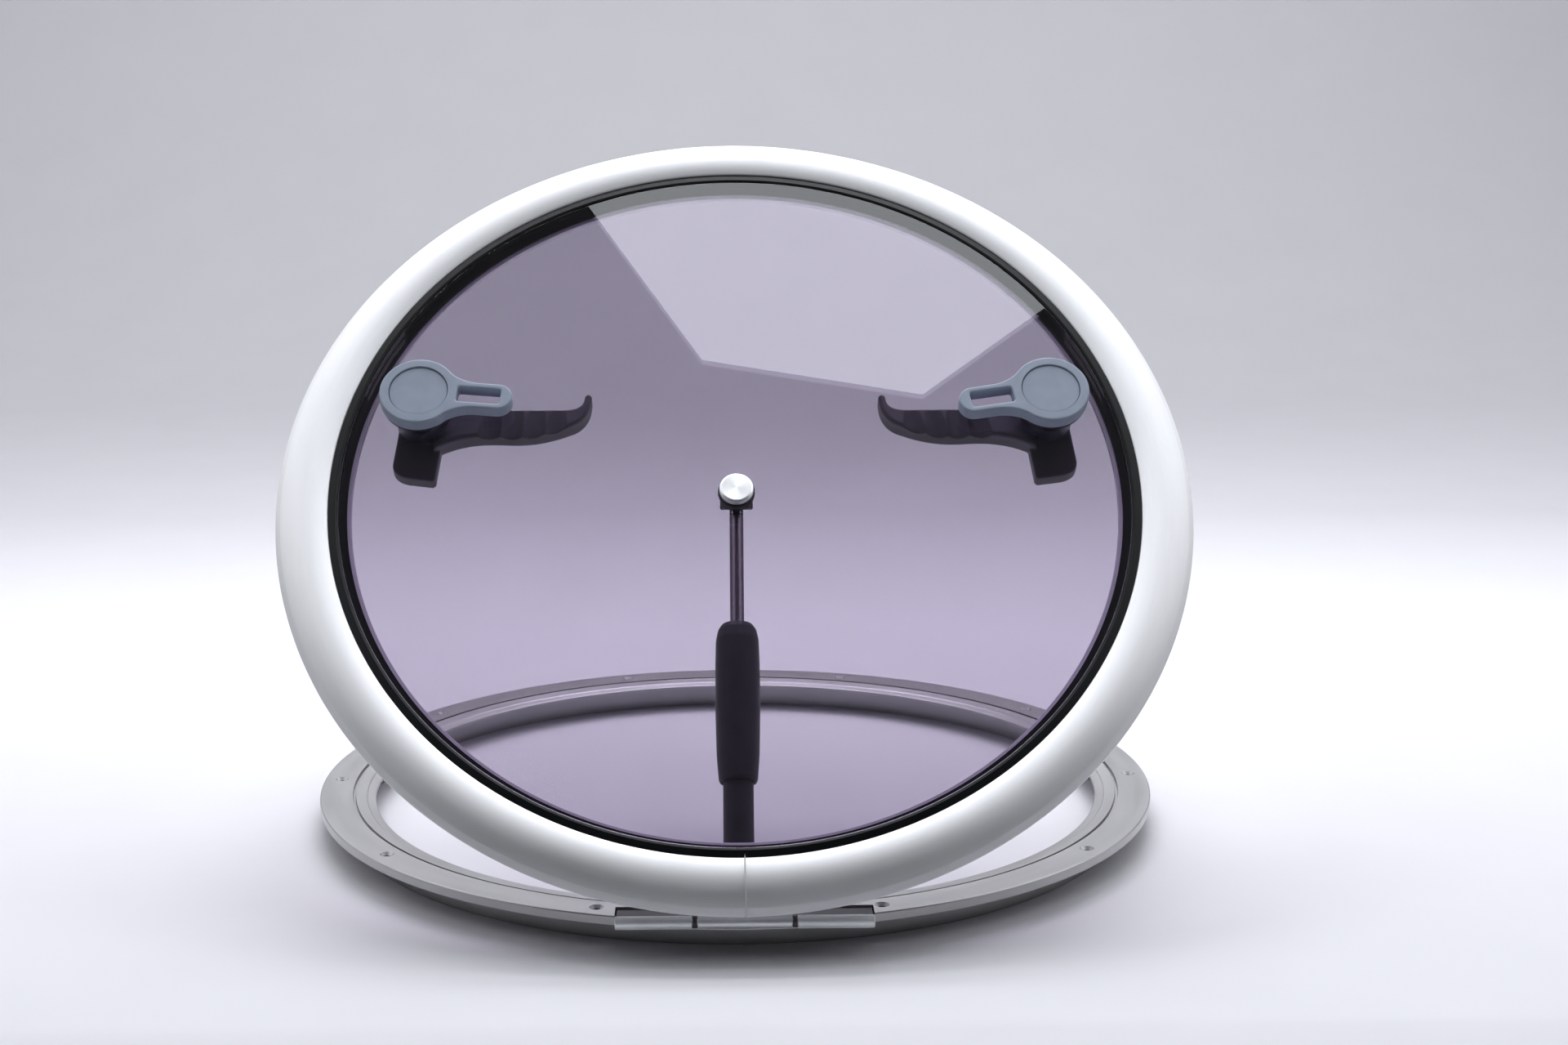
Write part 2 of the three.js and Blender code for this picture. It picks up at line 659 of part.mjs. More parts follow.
// The stay is drawn along +Z from its foot pivot, then leaned to reach the pivot on the lid.
function stayLeg() {
  const top = openedPlace(stayPivot);
  const [dy, dz] = [top.y - stayFoot.y, top.z - stayFoot.z];
  const length = Math.hypot(dy, dz);
  const leg = new THREE.Group();
  leg.position.set(0, stayFoot.y, stayFoot.z);
  leg.rotation.x = Math.atan2(-dy, dz);
  base.add(leg);

  const forkStart = length - 12;
  const rodTop = length - 4.2;
  const rodBottom = 62;
  const spigotHole = disc(2.6, forkStart - gap, length, 16);
  add(leg, 'stay_rod', cut(disc(rodRadius, rodBottom, rodTop, 24), spigotHole), chromeRod);
  const forkBody = join(
    disc(rodRadius, rodTop + gap, length, 24),
    moved(crossBar(rodRadius, -rodRadius, rodRadius, 0, 0, 24), 0, 0, length),
    disc(2.3, forkStart, length - 3.9, 16),
  );
  const roundBar = disc(rodRadius, forkStart - 1, length + 5, 24);
  const trimmed = toGeometry(toSolid(forkBody).intersect(toSolid(roundBar)));
  const forkSlot = block([-lugHalf - gap, lugHalf + gap], [-5, 5], [length - 3.75, length + 5]);
  const forkBore = crossBar(1.5, -5, 5, 0, length, 16);
  add(leg, 'stay_rod_fork', cut(trimmed, forkSlot, forkBore), blackNylon);
  add(leg, 'stay_rod_guide', disc(6.6, rodBottom - 6, rodBottom - gap, 24), blackNylon);

  add(leg, 'stay_tube', sleeve(tubeBore, tubeRadius, tubeStart, tubeEnd, 32), blackNylon);
  const collet = sleeve(rodRadius + 0.35, tubeBore - 0.35, tubeEnd - 14, tubeEnd - gap, 24);
  add(leg, 'stay_collet', collet, blackNylon);
  const plug = join(
    crossBar(4.4, -footEyeHalf, footEyeHalf, 0, 0, 24),
    block([-footEyeHalf, footEyeHalf], [-4.4, 4.4], [0, 13]),
    disc(tubeRadius, 12, tubeStart - gap, 32),
    disc(tubeBore - 0.4, 12, 27, 32),
  );
  add(leg, 'stay_foot_plug', cut(plug, crossBar(2.6, -6, 6)), blackNylon);
  add(leg, 'stay_foot_bush', crossBar(2.25, -footEyeHalf, footEyeHalf, 0, 0, 16), stainless);

  add(leg, 'stay_twist_grip', turned([
    [8.65, gripStart],
    [9.9, gripStart],
    [10.6, gripStart + 1.5],
    [11.6, gripStart + 15],
    [12.2, gripStart + 41],
    [12.2, gripStart + 66],
    [11.8, gripEnd - 9],
    [10.6, gripEnd - 3],
    [8.6, gripEnd],
    [rodRadius + 0.5, gripEnd],
    [rodRadius + 0.5, gripEnd - 6.4],
    [8.65, gripEnd - 6.4],
  ], 28), blackNylon);
}

function stayFootBracket() {
  const plate = block([-15, 15], [bracketBackY, bracketFaceY], [-18.5, -6.4]);
  const lugs = [-1, 1].flatMap((side) => {
    const ends = [side * footLugInner, side * footLugOuter].sort((a, b) => a - b);
    return [
      block(ends, [bracketFaceY - 0.5, stayFoot.y], [stayFoot.z - 5.2, stayFoot.z + 2.4]),
      crossBar(5.2, ...ends, stayFoot.y, stayFoot.z),
    ];
  });
  const tools = [crossBar(2.3, -10, 10, stayFoot.y, stayFoot.z, 16), ...bracketScrewPlaces.map(wallHole)];
  add(base, 'stay_foot_bracket', cut(join(plate, ...lugs), ...tools), stainless);
  [-1, 1].forEach((side, i) => {
    const outer = side * (footLugOuter + gap);
    const head = [outer, outer + side * 1.6].sort((a, b) => a - b);
    const shank = [side * footLugInner, outer + side * 0.5].sort((a, b) => a - b);
    const stud = join(
      crossBar(3.6, ...head, stayFoot.y, stayFoot.z, 20),
      crossBar(2, ...shank, stayFoot.y, stayFoot.z, 16),
    );
    add(base, `stay_foot_stud_${i + 1}`, stud, stainless);
  });
  bracketScrewPlaces.forEach((x, i) => {
    const screw = turned([
      [0, 2.4],
      [2.2, 2.4],
      [3.2, 1.2],
      [3.2, gap],
      [1.7, gap],
      [1.7, -8],
      [0, -8],
    ], 16);
    screw.rotateX(-Math.PI / 2);
    add(base, `stay_bracket_screw_${i + 1}`, moved(screw, x, bracketFaceY, bracketScrewZ), stainless);
  });
}

// ---------------------------------------------------------------- the hatch

add(base, 'base_ring', baseRing(), castGrey);
add(base, 'base_spigot', baseSpigot(), castGrey);
hinge();
glazing();
latchUnit('left', 1);
latchUnit('right', -1);
stayHead();
stayLeg();
stayFootBracket();

export default group;
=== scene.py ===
"""Looks of a round deck hatch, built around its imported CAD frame.

Every piece is drawn in millimetres in the frame of its own assembly: the base, the closed lid,
a latch unit or the stay leg. That assembly's matrix then takes it to its place in the row frame.
"""

import json
import math

import bmesh
import bpy
from mathutils import Matrix, Vector


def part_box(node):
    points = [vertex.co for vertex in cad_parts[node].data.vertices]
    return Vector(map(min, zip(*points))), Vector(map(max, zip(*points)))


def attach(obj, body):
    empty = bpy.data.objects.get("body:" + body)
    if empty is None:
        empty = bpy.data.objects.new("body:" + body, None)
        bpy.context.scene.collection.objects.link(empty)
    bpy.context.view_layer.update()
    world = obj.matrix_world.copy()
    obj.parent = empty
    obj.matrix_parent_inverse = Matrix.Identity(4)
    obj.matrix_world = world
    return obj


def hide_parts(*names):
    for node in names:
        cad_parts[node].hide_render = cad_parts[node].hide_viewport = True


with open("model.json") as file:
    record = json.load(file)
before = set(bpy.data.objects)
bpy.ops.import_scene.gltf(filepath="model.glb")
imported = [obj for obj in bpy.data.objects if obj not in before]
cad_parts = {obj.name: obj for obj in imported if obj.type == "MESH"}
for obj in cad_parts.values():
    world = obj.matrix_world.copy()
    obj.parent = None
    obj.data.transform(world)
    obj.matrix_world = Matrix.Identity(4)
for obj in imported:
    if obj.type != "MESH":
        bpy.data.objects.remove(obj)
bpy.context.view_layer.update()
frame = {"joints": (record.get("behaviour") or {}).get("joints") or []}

MM = 0.001
DEG = math.pi / 180

# ---------------------------------------------------------------- camera

camera = bpy.data.objects.new("camera", bpy.data.cameras.new("camera"))
camera.data.lens = 56.01
camera.data.sensor_width = 36.0
camera.data.clip_end = 60.0
camera.location = (-0.0080, -1.4246, 0.4594)
CAMERA_PITCH = 11.15 * DEG  # down
CAMERA_YAW = 1.48 * DEG  # towards +X
camera.rotation_euler = (math.pi / 2 - CAMERA_PITCH, 0, -CAMERA_YAW)
bpy.context.scene.collection.objects.link(camera)
bpy.context.scene.camera = camera

# ---------------------------------------------------------------- assembly frames


def node_centre(node):
    low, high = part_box(node)
    return (low + high) / 2


joints = {joint["name"]: joint for joint in frame["joints"]}
hinge_place = Matrix.Translation(joints["lid_hinge"]["pos_m"])
lid_opening = -joints["lid_hinge"]["range_deg"][0] * DEG

flange_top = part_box("base_ring")[1].z
base_centre = node_centre("base_spigot")
BASE = Matrix.Translation((base_centre.x, base_centre.y, flange_top))
LID = hinge_place @ Matrix.Rotation(lid_opening, 4, "X") @ hinge_place.inverted() @ BASE

# The latch units point their levers inwards; SIDES gives the mirror sign of each.
SIDES = {"left": 1, "right": -1}
LATCH = {}
latch_axis = {}
for side_name, side_sign in SIDES.items():
    joint = joints[f"{side_name}_latch_turn"]
    on_lid = LID.inverted() @ Vector(joint["pos_m"])
    rest_turn = -joint["range_deg"][0] * DEG
    latch_axis[side_name] = (on_lid.x / MM, on_lid.y / MM)
    turn = Matrix.Rotation(-side_sign * rest_turn, 4, "Z")
    LATCH[side_name] = LID @ Matrix.Translation((on_lid.x, on_lid.y, 0)) @ turn

stay_foot = node_centre("stay_foot_bush")
stay_top = node_centre("stay_clevis_pin")
stay_run = stay_top - stay_foot
stay_length = stay_run.length / MM
LEG = Matrix.Translation(stay_foot) @ Matrix.Rotation(math.atan2(-stay_run.y, stay_run.z), 4, "X")
FOOT = Matrix.Translation(stay_foot)
top_on_lid = LID.inverted() @ stay_top
bolt_y = top_on_lid.y / MM
stay_pivot_z = top_on_lid.z / MM

# ---------------------------------------------------------------- sizes (mm), as in the CAD source

FLANGE_RADIUS = 250
FLANGE_THICKNESS = 5.4
OPENING_RADIUS = 217
SPIGOT_INNER = 229
SPIGOT_OUTER = 232.5
BASE_DEPTH = 19.5
GROOVE_RADIUS = 229.9
SCREW_CIRCLE = 239.7
SCREW_COUNT = 10
SCREW_HOLE = 2.4
COUNTERSINK = 4.0

HINGE_X = 2.6
HINGE_Y = -253
HINGE_Z = 0.5
KNUCKLE = 3.25
KNUCKLE_BORE = 1.85
PIN_RADIUS = 1.5
LID_KNUCKLE_HALF = 24.1
WASHER = 2.2
HINGE_HALF = 66.2
NOTCH_HALF = 66.9
NOTCH_BACK = -228.3
NOTCH_FLOOR = -4.2
LEAF_FRONT = -248.6
LEAF_TOP = -1.3
LID_LEAF_BOTTOM = 1.75
LID_LEAF_BACK = -233.5
RIVET_Y = -243.6
RIVET_X = (-46, 0, 46)
LID_SCREW_Y = -241
LID_SCREW_X = (-14, 14)

PANE_RADIUS = 221
PANE_BOTTOM = 10.3
PANE_TOP = 20.3
LID_INNER = 226.5
LID_INNER_TOP = 20.5
DOME_RADIUS = 25.5
DOME_START = -24 * DEG
DOME_END = 38 * DEG
SKIRT_RADIUS = 250
LEDGE_RADIUS = 214.3
LEDGE_BOTTOM = 5.6
LEDGE_TOP = 8.6
SEAM_X = 3.0

HANDLE_BOTTOM = 22.8
HANDLE_TOP = 31.3
DISC_RADIUS = 22
HANDLE_REACH = 53.5
ARM_HALF = 8.6
CAP_SEAT = 28.0
HUB_RADIUS = 15
HUB_BOTTOM = -12
TONGUE_REACH = 38.8
SLACK = {"left": 0.0, "right": 3.5 * DEG}  # the inner handle sits back on its spindle by this
TONGUE_OUTER = -13.6
TONGUE_INNER = 12.2
FINGER_GROOVE_X = (39.5, 52, 64.5, 77)
FINGER_GROOVE_RADIUS = 8.0
SPINDLE_RADIUS = 6.5
BUSH_RADIUS = 9.3
BUSH_BORE = 6.95
CAP_RADIUS = 16.4

KNOB_RADIUS = 9.4
KNOB_WASHER = 10.3
BOLT_RADIUS = 3
CROSS_PIN = 1.2
CROSS_PIN_BORE = 1.5
STUD_RADIUS = 2
EYE_RADIUS = 4.4
ROD_RADIUS = 3.83
TUBE_RADIUS = 8.25
TUBE_BORE = 7
TUBE_START = 15.3
TUBE_END = 151.8
GRIP_START = 69
GRIP_END = 159
LUG_HALF = 2.2
BRACKET_SCREW_X = (-11, 11)
BRACKET_SCREW_Z = -14
GAP = 0.3  # clearance between pieces that touch

# ---------------------------------------------------------------- mesh helpers


def placed(name, data):
    """A new object in the scene that shows the mesh, curve or lamp."""
    made = bpy.data.objects.new(name, data)
    bpy.context.scene.collection.objects.link(made)
    return made


def add_piece(name, mesh, place, body, look, stands_for=(), sharp=38):
    """A finished piece: shaded, placed in its assembly's frame and riding on its CAD body."""
    piece = placed(name, mesh)
    mesh.materials.clear()
    mesh.materials.append(look["material"])
    mesh.shade_smooth()
    mesh.set_sharp_from_angle(angle=sharp * DEG)
    level = piece.modifiers.new("level", "WEIGHTED_NORMAL")
    level.mode = "FACE_AREA"
    level.keep_sharp = True
    piece.matrix_world = place
    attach(piece, body)
    if stands_for:
        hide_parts(*stands_for)
    return piece


def mesh_from(bm):
    mesh = bpy.data.meshes.new("piece")
    bmesh.ops.recalc_face_normals(bm, faces=bm.faces)
    bm.to_mesh(mesh)
    bm.free()
    return mesh


def rounded(corners, closed=True, steps=5):
    """The corners (a, b[, fillet]) as a polyline, each fillet drawn as a smooth curve."""
    count = len(corners)
    line = []
    for i, corner in enumerate(corners):
        point = Vector(corner[:2])
        fillet = corner[2] if len(corner) > 2 else 0
        if not fillet or (not closed and i in (0, count - 1)):
            line.append(point)
            continue
        before = Vector(corners[i - 1][:2]) - point
        after = Vector(corners[(i + 1) % count][:2]) - point
        half = before.angle(after) / 2
        reach = min(fillet / math.tan(half), 0.49 * before.length, 0.49 * after.length)
        start = point + before.normalized() * reach
        end = point + after.normalized() * reach
        for k in range(steps + 1):
            t = k / steps
            line.append((1 - t) ** 2 * start + 2 * t * (1 - t) * point + t * t * end)
    return line


def arc(centre, radius, start, end, steps):
    """Points (a, b) on a circle from one angle to another, both counted from the a axis."""
    turn = [start + (end - start) * k / steps for k in range(steps + 1)]
    return [(centre[0] + radius * math.cos(t), centre[1] + radius * math.sin(t)) for t in turn]


def bezier(start, first, second, end, steps=10):
    line = []
    for k in range(1, steps + 1):
        t = k / steps
        u = 1 - t
        weights = (u**3, 3 * u * u * t, 3 * u * t * t, t**3)
        points = (start, first, second, end)
        line.append(tuple(sum(w * p[axis] for w, p in zip(weights, points)) for axis in (0, 1)))
    return line


def lathe(profile, steps=96, seam=None):
    """The profile [(radius, z)] turned about z. A seam (angle, half width, depth, radius, z) is a
    fine V groove across the part of the profile outside that radius and above that z."""
    on_axis = [p[0] < 1e-6 for p in profile]
    closed = not any(on_axis)
    angles = [math.tau * k / steps for k in range(steps)]
    sunk = set()
    if seam:
        angle, half, depth, seam_radius, seam_z = seam
        spread = half / SKIRT_RADIUS
        angles = [a for a in angles if abs(a - angle) > 1.5 * spread]
        angles = sorted(angles + [angle - spread, angle, angle + spread])
        sunk = {angles.index(angle)}
    bm = bmesh.new()
    columns = []
    for k, a in enumerate(angles):
        column = []
        for i, (radius, z) in enumerate(profile):
            if k in sunk and radius > seam_radius and z > seam_z:
                ahead = Vector(profile[(i + 1) % len(profile)]) - Vector(profile[i - 1])
                inward = Vector((-ahead.y, ahead.x)).normalized() * -depth
                radius, z = radius - inward.x, z - inward.y
            if on_axis[i] and columns:
                column.append(columns[0][i])
            else:
                spot = (radius * math.cos(a) * MM, radius * math.sin(a) * MM, z * MM)
                column.append(bm.verts.new(spot))
        columns.append(column)
    last = len(profile) if closed else len(profile) - 1
    for k, column in enumerate(columns):
        following = columns[(k + 1) % len(columns)]
        for i in range(last):
            j = (i + 1) % len(profile)
            ring = [column[i], following[i], following[j], column[j]]
            ring = [v for n, v in enumerate(ring) if v not in ring[:n]]
            if len(ring) > 2:
                bm.faces.new(ring)
    return mesh_from(bm)


def slab(outline, bottom, top, rounding, holes=(), steps=3):
    """A flat outline with holes, raised from bottom to top, its edges rounded."""
    curve = bpy.data.curves.new("slab", "CURVE")
    curve.dimensions = "2D"
    curve.fill_mode = "BOTH"
    curve.extrude = ((top - bottom) / 2 - rounding) * MM
    curve.bevel_depth = rounding * MM
    curve.bevel_resolution = steps
    curve.offset = -rounding * MM
    for line in (outline, *holes):
        spline = curve.splines.new("POLY")
        spline.points.add(len(line) - 1)
        for point, spot in zip(spline.points, line):
            point.co = (spot[0] * MM, spot[1] * MM, 0, 1)
        spline.use_cyclic_u = True
    holder = placed("slab", curve)
    mesh = evaluated(holder)
    mesh.transform(Matrix.Translation((0, 0, (top + bottom) / 2 * MM)))
    weld(mesh)
    return mesh


def evaluated(holder):
    """The holder's mesh with its modifiers applied; the holder itself is removed."""
    graph = bpy.context.evaluated_depsgraph_get()
    mesh = bpy.data.meshes.new_from_object(holder.evaluated_get(graph))
    bpy.data.objects.remove(holder)
    return mesh


def weld(mesh, distance=0.002):
    bm = bmesh.new()
    bm.from_mesh(mesh)
    bmesh.ops.remove_doubles(bm, verts=bm.verts, dist=distance * MM)
    bmesh.ops.recalc_face_normals(bm, faces=bm.faces)
    bm.to_mesh(mesh)
    bm.free()


def block(x_range, y_range, z_range, rounding=0.0):
    bm = bmesh.new()
    bmesh.ops.create_cube(bm, size=1)
    for v in bm.verts:
        for axis, (low, high) in enumerate((x_range, y_range, z_range)):
            v.co[axis] = (low if v.co[axis] < 0 else high) * MM
    if rounding:
        bmesh.ops.bevel(
            bm, geom=bm.edges[:], offset=rounding * MM, segments=3, profile=0.5, affect="EDGES"
        )
    return mesh_from(bm)


def bar(radius, x_range, y=0.0, z=0.0, rounding=0.0, steps=48):
    """A round bar along X, its end edges rounded."""
    x0, x1 = x_range
    side = [(0, x0), (radius, x0, rounding), (radius, x1, rounding), (0, x1)]
    mesh = lathe(rounded(side, closed=False), steps)
    mesh.transform(Matrix.Translation((0, y * MM, z * MM)) @ Matrix.Rotation(math.pi / 2, 4, "Y"))
    return mesh


def shifted(mesh, x=0.0, y=0.0, z=0.0):
    mesh.transform(Matrix.Translation((x * MM, y * MM, z * MM)))
    return mesh


def mirrored(mesh, sign):
    if sign < 0:
        mesh.transform(Matrix.Scale(-1, 4, (1, 0, 0)))
        mesh.flip_normals()
    return mesh


def combined(mesh, tools, operation):
    """mesh with each tool mesh joined to it (UNION) or cut from it (DIFFERENCE)."""
    holder = placed("work", mesh)
    cutters = []
    for tool in tools:
        cutter = placed("tool", tool)
        cutters.append(cutter)
        step = holder.modifiers.new("step", "BOOLEAN")
        step.operation = operation
        step.solver = "EXACT"
        step.object = cutter
    result = evaluated(holder)
    for cutter in cutters:
        bpy.data.objects.remove(cutter)
    weld(result)
    return result


def cut(mesh, *tools):
    return combined(mesh, tools, "DIFFERENCE")


def joined(mesh, *tools):
    return combined(mesh, tools, "UNION")


def moulded(mesh, voxel, passes):
    """mesh as one soft skin, as from a mould: remeshed, then smoothed."""
    holder = placed("work", mesh)
    skin = holder.modifiers.new("skin", "REMESH")
    skin.mode = "VOXEL"
    skin.voxel_size = voxel * MM
    soft = holder.modifiers.new("soft", "SMOOTH")
    soft.factor = 0.5
    soft.iterations = passes
    return evaluated(holder)


# ---------------------------------------------------------------- materials

RADIAN = 57.3  # degrees
HEIGHT_SHARE = 0.37  # how much height counts beside radius in marks turned on a lathe


def node(tree, kind, **values):
    made = tree.nodes.new(kind)
    for key, value in values.items():
        setattr(made, key, value)
    return made


def maths(tree, operation, first, second=0.0):
    made = node(tree, "ShaderNodeMath", operation=operation)
    for socket, value in zip(made.inputs, (first, second)):
        if isinstance(value, (int, float)):
            socket.default_value = value
        else:
            tree.links.new(value, socket)
    return made.outputs[0]


def object_vector(tree, stretch):
    """Object coordinates in mm, each divided by the stretch along its axis."""
    place = node(tree, "ShaderNodeTexCoord").outputs["Object"]
    scaled = node(tree, "ShaderNodeVectorMath", operation="MULTIPLY")
    tree.links.new(place, scaled.inputs[0])
    scaled.inputs[1].default_value = [1 / (MM * s) for s in stretch]
    return scaled.outputs[0]


def turned_vector(tree, across, around):
    """Coordinates for marks that run round the z axis: across is their width and around is their
    length in degrees. The profile is read as radius plus a share of height."""
    place = node(tree, "ShaderNodeTexCoord").outputs["Object"]
    split = node(tree, "ShaderNodeSeparateXYZ")
    tree.links.new(place, split.inputs[0])
    squares = [maths(tree, "MULTIPLY", split.outputs[i], split.outputs[i]) for i in (0, 1)]
    radius = maths(tree, "SQRT", maths(tree, "ADD", *squares))
    height = maths(tree, "MULTIPLY", split.outputs[2], HEIGHT_SHARE)
    profile = maths(tree, "ADD", radius, height)
    join = node(tree, "ShaderNodeCombineXYZ")
    for i in (0, 1):
        unit = maths(tree, "DIVIDE", split.outputs[i], radius)
        tree.links.new(maths(tree, "MULTIPLY", unit, RADIAN / around), join.inputs[i])
    tree.links.new(maths(tree, "MULTIPLY", profile, 1 / (MM * across)), join.inputs[2])
    return join.outputs[0]


def noise(tree, vector, detail=2.0):
    made = node(tree, "ShaderNodeTexNoise")
    made.inputs["Scale"].default_value = 1.0
    made.inputs["Detail"].default_value = detail
    tree.links.new(vector, made.inputs["Vector"])
    return made.outputs["Fac"]


def spread(tree, factor, low, high):
    """factor, mostly between 0.3 and 0.7, mapped to low..high."""
    made = node(tree, "ShaderNodeMapRange")
    for name, value in (("From Min", 0.3), ("From Max", 0.7), ("To Min", low), ("To Max", high)):
        made.inputs[name].default_value = value
    tree.links.new(factor, made.inputs["Value"])
    return made.outputs["Result"]


def tinted(tree, factor, dark, light):
    made = node(tree, "ShaderNodeMix", data_type="RGBA")
    colours = [socket for socket in made.inputs if socket.type == "RGBA"]
    colours[0].default_value = (*dark, 1)
    colours[1].default_value = (*light, 1)
    tree.links.new(factor, made.inputs["Factor"])
    return [socket for socket in made.outputs if socket.type == "RGBA"][0]


def new_material(name):
    material = bpy.data.materials.new(name)
    material.use_nodes = True
    tree = material.node_tree
    return material, tree, tree.nodes["Principled BSDF"]


def finish_of(name, slot, colour, roughness, metallic=0.0, fine=None, broad=None, relief=0.02,
              vary=0.06, rough_vary=0.06, **sockets):
    """A procedural finish. fine and broad give the vector of each noise layer: fine makes the
    relief (mm deep) and the roughness grain, broad makes the slow drift of colour. Any other
    socket of the shader is set by its name."""
    material, tree, shader = new_material(name)
    shader.inputs["Metallic"].default_value = metallic
    for socket, value in sockets.items():
        shader.inputs[socket.replace("_", " ")].default_value = value
    grain = noise(tree, fine(tree), 3.0)
    drift = noise(tree, broad(tree), 2.0)
    dark = [c * (1 - vary) for c in colour]
    light = [min(1.0, c * (1 + vary)) for c in colour]
    shade = tinted(tree, spread(tree, drift, 0, 1), dark, light)
    tree.links.new(shade, shader.inputs["Base Color"])
    fine_wear = spread(tree, grain, -rough_vary, rough_vary)
    broad_wear = spread(tree, drift, -rough_vary / 2, rough_vary / 2)
    worn = maths(tree, "ADD", fine_wear, broad_wear)
    tree.links.new(maths(tree, "ADD", worn, roughness), shader.inputs["Roughness"])
    bump = node(tree, "ShaderNodeBump")
    bump.inputs["Strength"].default_value = 1.0
    bump.inputs["Distance"].default_value = relief * MM
    tree.links.new(grain, bump.inputs["Height"])
    tree.links.new(bump.outputs["Normal"], shader.inputs["Normal"])
    return {"material": material, "slot": slot, "shader": shader, "tree": tree}


def turned_sheen(look):
    """The bow-tie highlight of a face turned on a lathe: the sheen runs round the z axis."""
    tangent = node(look["tree"], "ShaderNodeTangent", direction_type="RADIAL", axis="Z")
    look["tree"].links.new(tangent.outputs[0], look["shader"].inputs["Tangent"])


def painted_shade(look, axis, start, end, share):
    """Paints shade into the colour: it falls to a share of itself between two object coordinates
    (mm).
    """
    tree, shader = look["tree"], look["shader"]
    split = node(tree, "ShaderNodeSeparateXYZ")
    tree.links.new(node(tree, "ShaderNodeTexCoord").outputs["Object"], split.inputs[0])
    fade = node(tree, "ShaderNodeMapRange")
    ends = (("From Min", start * MM), ("From Max", end * MM), ("To Min", 1.0), ("To Max", share))
    for name, value in ends:
        fade.inputs[name].default_value = value
    tree.links.new(split.outputs[axis], fade.inputs["Value"])
    shade = node(tree, "ShaderNodeHueSaturation")
    tree.links.new(shader.inputs["Base Color"].links[0].from_socket, shade.inputs["Color"])
    tree.links.new(fade.outputs["Result"], shade.inputs["Value"])
    tree.links.new(shade.outputs[0], shader.inputs["Base Color"])


def speckle(size):
    return lambda tree: object_vector(tree, (size, size, size))


def stroke(*stretch):
    return lambda tree: object_vector(tree, stretch)


def rings(across, around):
    return lambda tree: turned_vector(tree, across, around)


LID_METAL = finish_of(
    "satin_aluminium", "satin_aluminium", (0.82, 0.82, 0.83), 0.61, 1.0,
    fine=rings(0.35, 2.5), broad=rings(9, 25), relief=0.004, vary=0.03, rough_vary=0.05,
    Anisotropic=0.5, Anisotropic_Rotation=0.25)
turned_sheen(LID_METAL)
BASE_METAL = finish_of(
    "matt_aluminium", "matt_aluminium", (0.41, 0.408, 0.405), 0.38, 1.0,
    fine=speckle(0.5), broad=rings(6, 12), relief=0.012, vary=0.05, rough_vary=0.05,
    Coat_Weight=0.7, Coat_Roughness=0.3)
STEEL = finish_of(
    "brushed_steel", "stainless_steel", (0.90, 0.91, 0.92), 0.52, 1.0,
    fine=stroke(9, 0.4, 0.4), broad=speckle(14), relief=0.002, vary=0.04, rough_vary=0.04)
LEAF_STEEL = finish_of(
    "leaf_steel", "stainless_steel", (0.93, 0.94, 0.95), 0.62, 1.0,
    fine=stroke(9, 0.4, 0.4), broad=speckle(14), relief=0.002, vary=0.04, rough_vary=0.04)
# Painted shade: the leaf plate behind the knuckles falls to 12% of its colour, standing in for the
# shade in its recess under the lid.
painted_shade(LEAF_STEEL, "Y", -249.4, -248.6, 0.12)
TURNED_STEEL = finish_of(
    "turned_steel", "stainless_steel", (0.82, 0.825, 0.835), 0.26, 1.0,
    fine=rings(0.22, 30), broad=rings(3, 40), relief=0.006, vary=0.05)
KNOB_STEEL = finish_of(
    "knob_steel", "stainless_steel", (0.88, 0.885, 0.89), 0.42, 1.0,
    fine=rings(0.6, 60), broad=rings(3, 60), relief=0.001, vary=0.03, rough_vary=0.02,
    Anisotropic=0.6, Anisotropic_Rotation=0.25)
turned_sheen(KNOB_STEEL)
ROD_STEEL = finish_of(
    "rod_steel", "rod_steel", (0.50, 0.46, 0.49), 0.24, 1.0,
    fine=stroke(0.4, 0.4, 8), broad=speckle(20), relief=0.001, vary=0.05, rough_vary=0.03,
    Specular_Tint=(0.03, 0.03, 0.03, 1))
SEALANT = finish_of(
    "sealant", "glazing_black", (0.003, 0.0035, 0.0045), 0.35, 0.0,
    fine=rings(2.2, 3), broad=speckle(25), relief=0.05, vary=0.2, rough_vary=0.05,
    Specular_IOR_Level=0.2)
RUBBER = finish_of(
    "rubber", "seal_rubber", (0.018, 0.018, 0.02), 0.62, 0.0,
    fine=speckle(0.45), broad=speckle(12), relief=0.03, vary=0.15)
BLACK_NYLON = finish_of(
    "black_nylon", "black_nylon", (0.042, 0.040, 0.048), 0.46, 0.0,
    fine=speckle(0.55), broad=speckle(16), relief=0.035, vary=0.18)
LEVER_NYLON = finish_of(
    "lever_nylon", "black_nylon", (0.060, 0.058, 0.068), 0.5, 0.0,
    fine=speckle(0.6), broad=speckle(12), relief=0.05, vary=0.14, Specular_IOR_Level=1.0)
# Painted shade: the lever's lower sides fall to 40% of the colour of its top face.
painted_shade(LEVER_NYLON, "Z", -2.5, -6.0, 0.4)
GREY_NYLON = finish_of(
    "grey_nylon", "grey_nylon", (0.285, 0.335, 0.42), 0.5, 0.0,
    fine=speckle(0.5), broad=speckle(13), relief=0.03, vary=0.06)


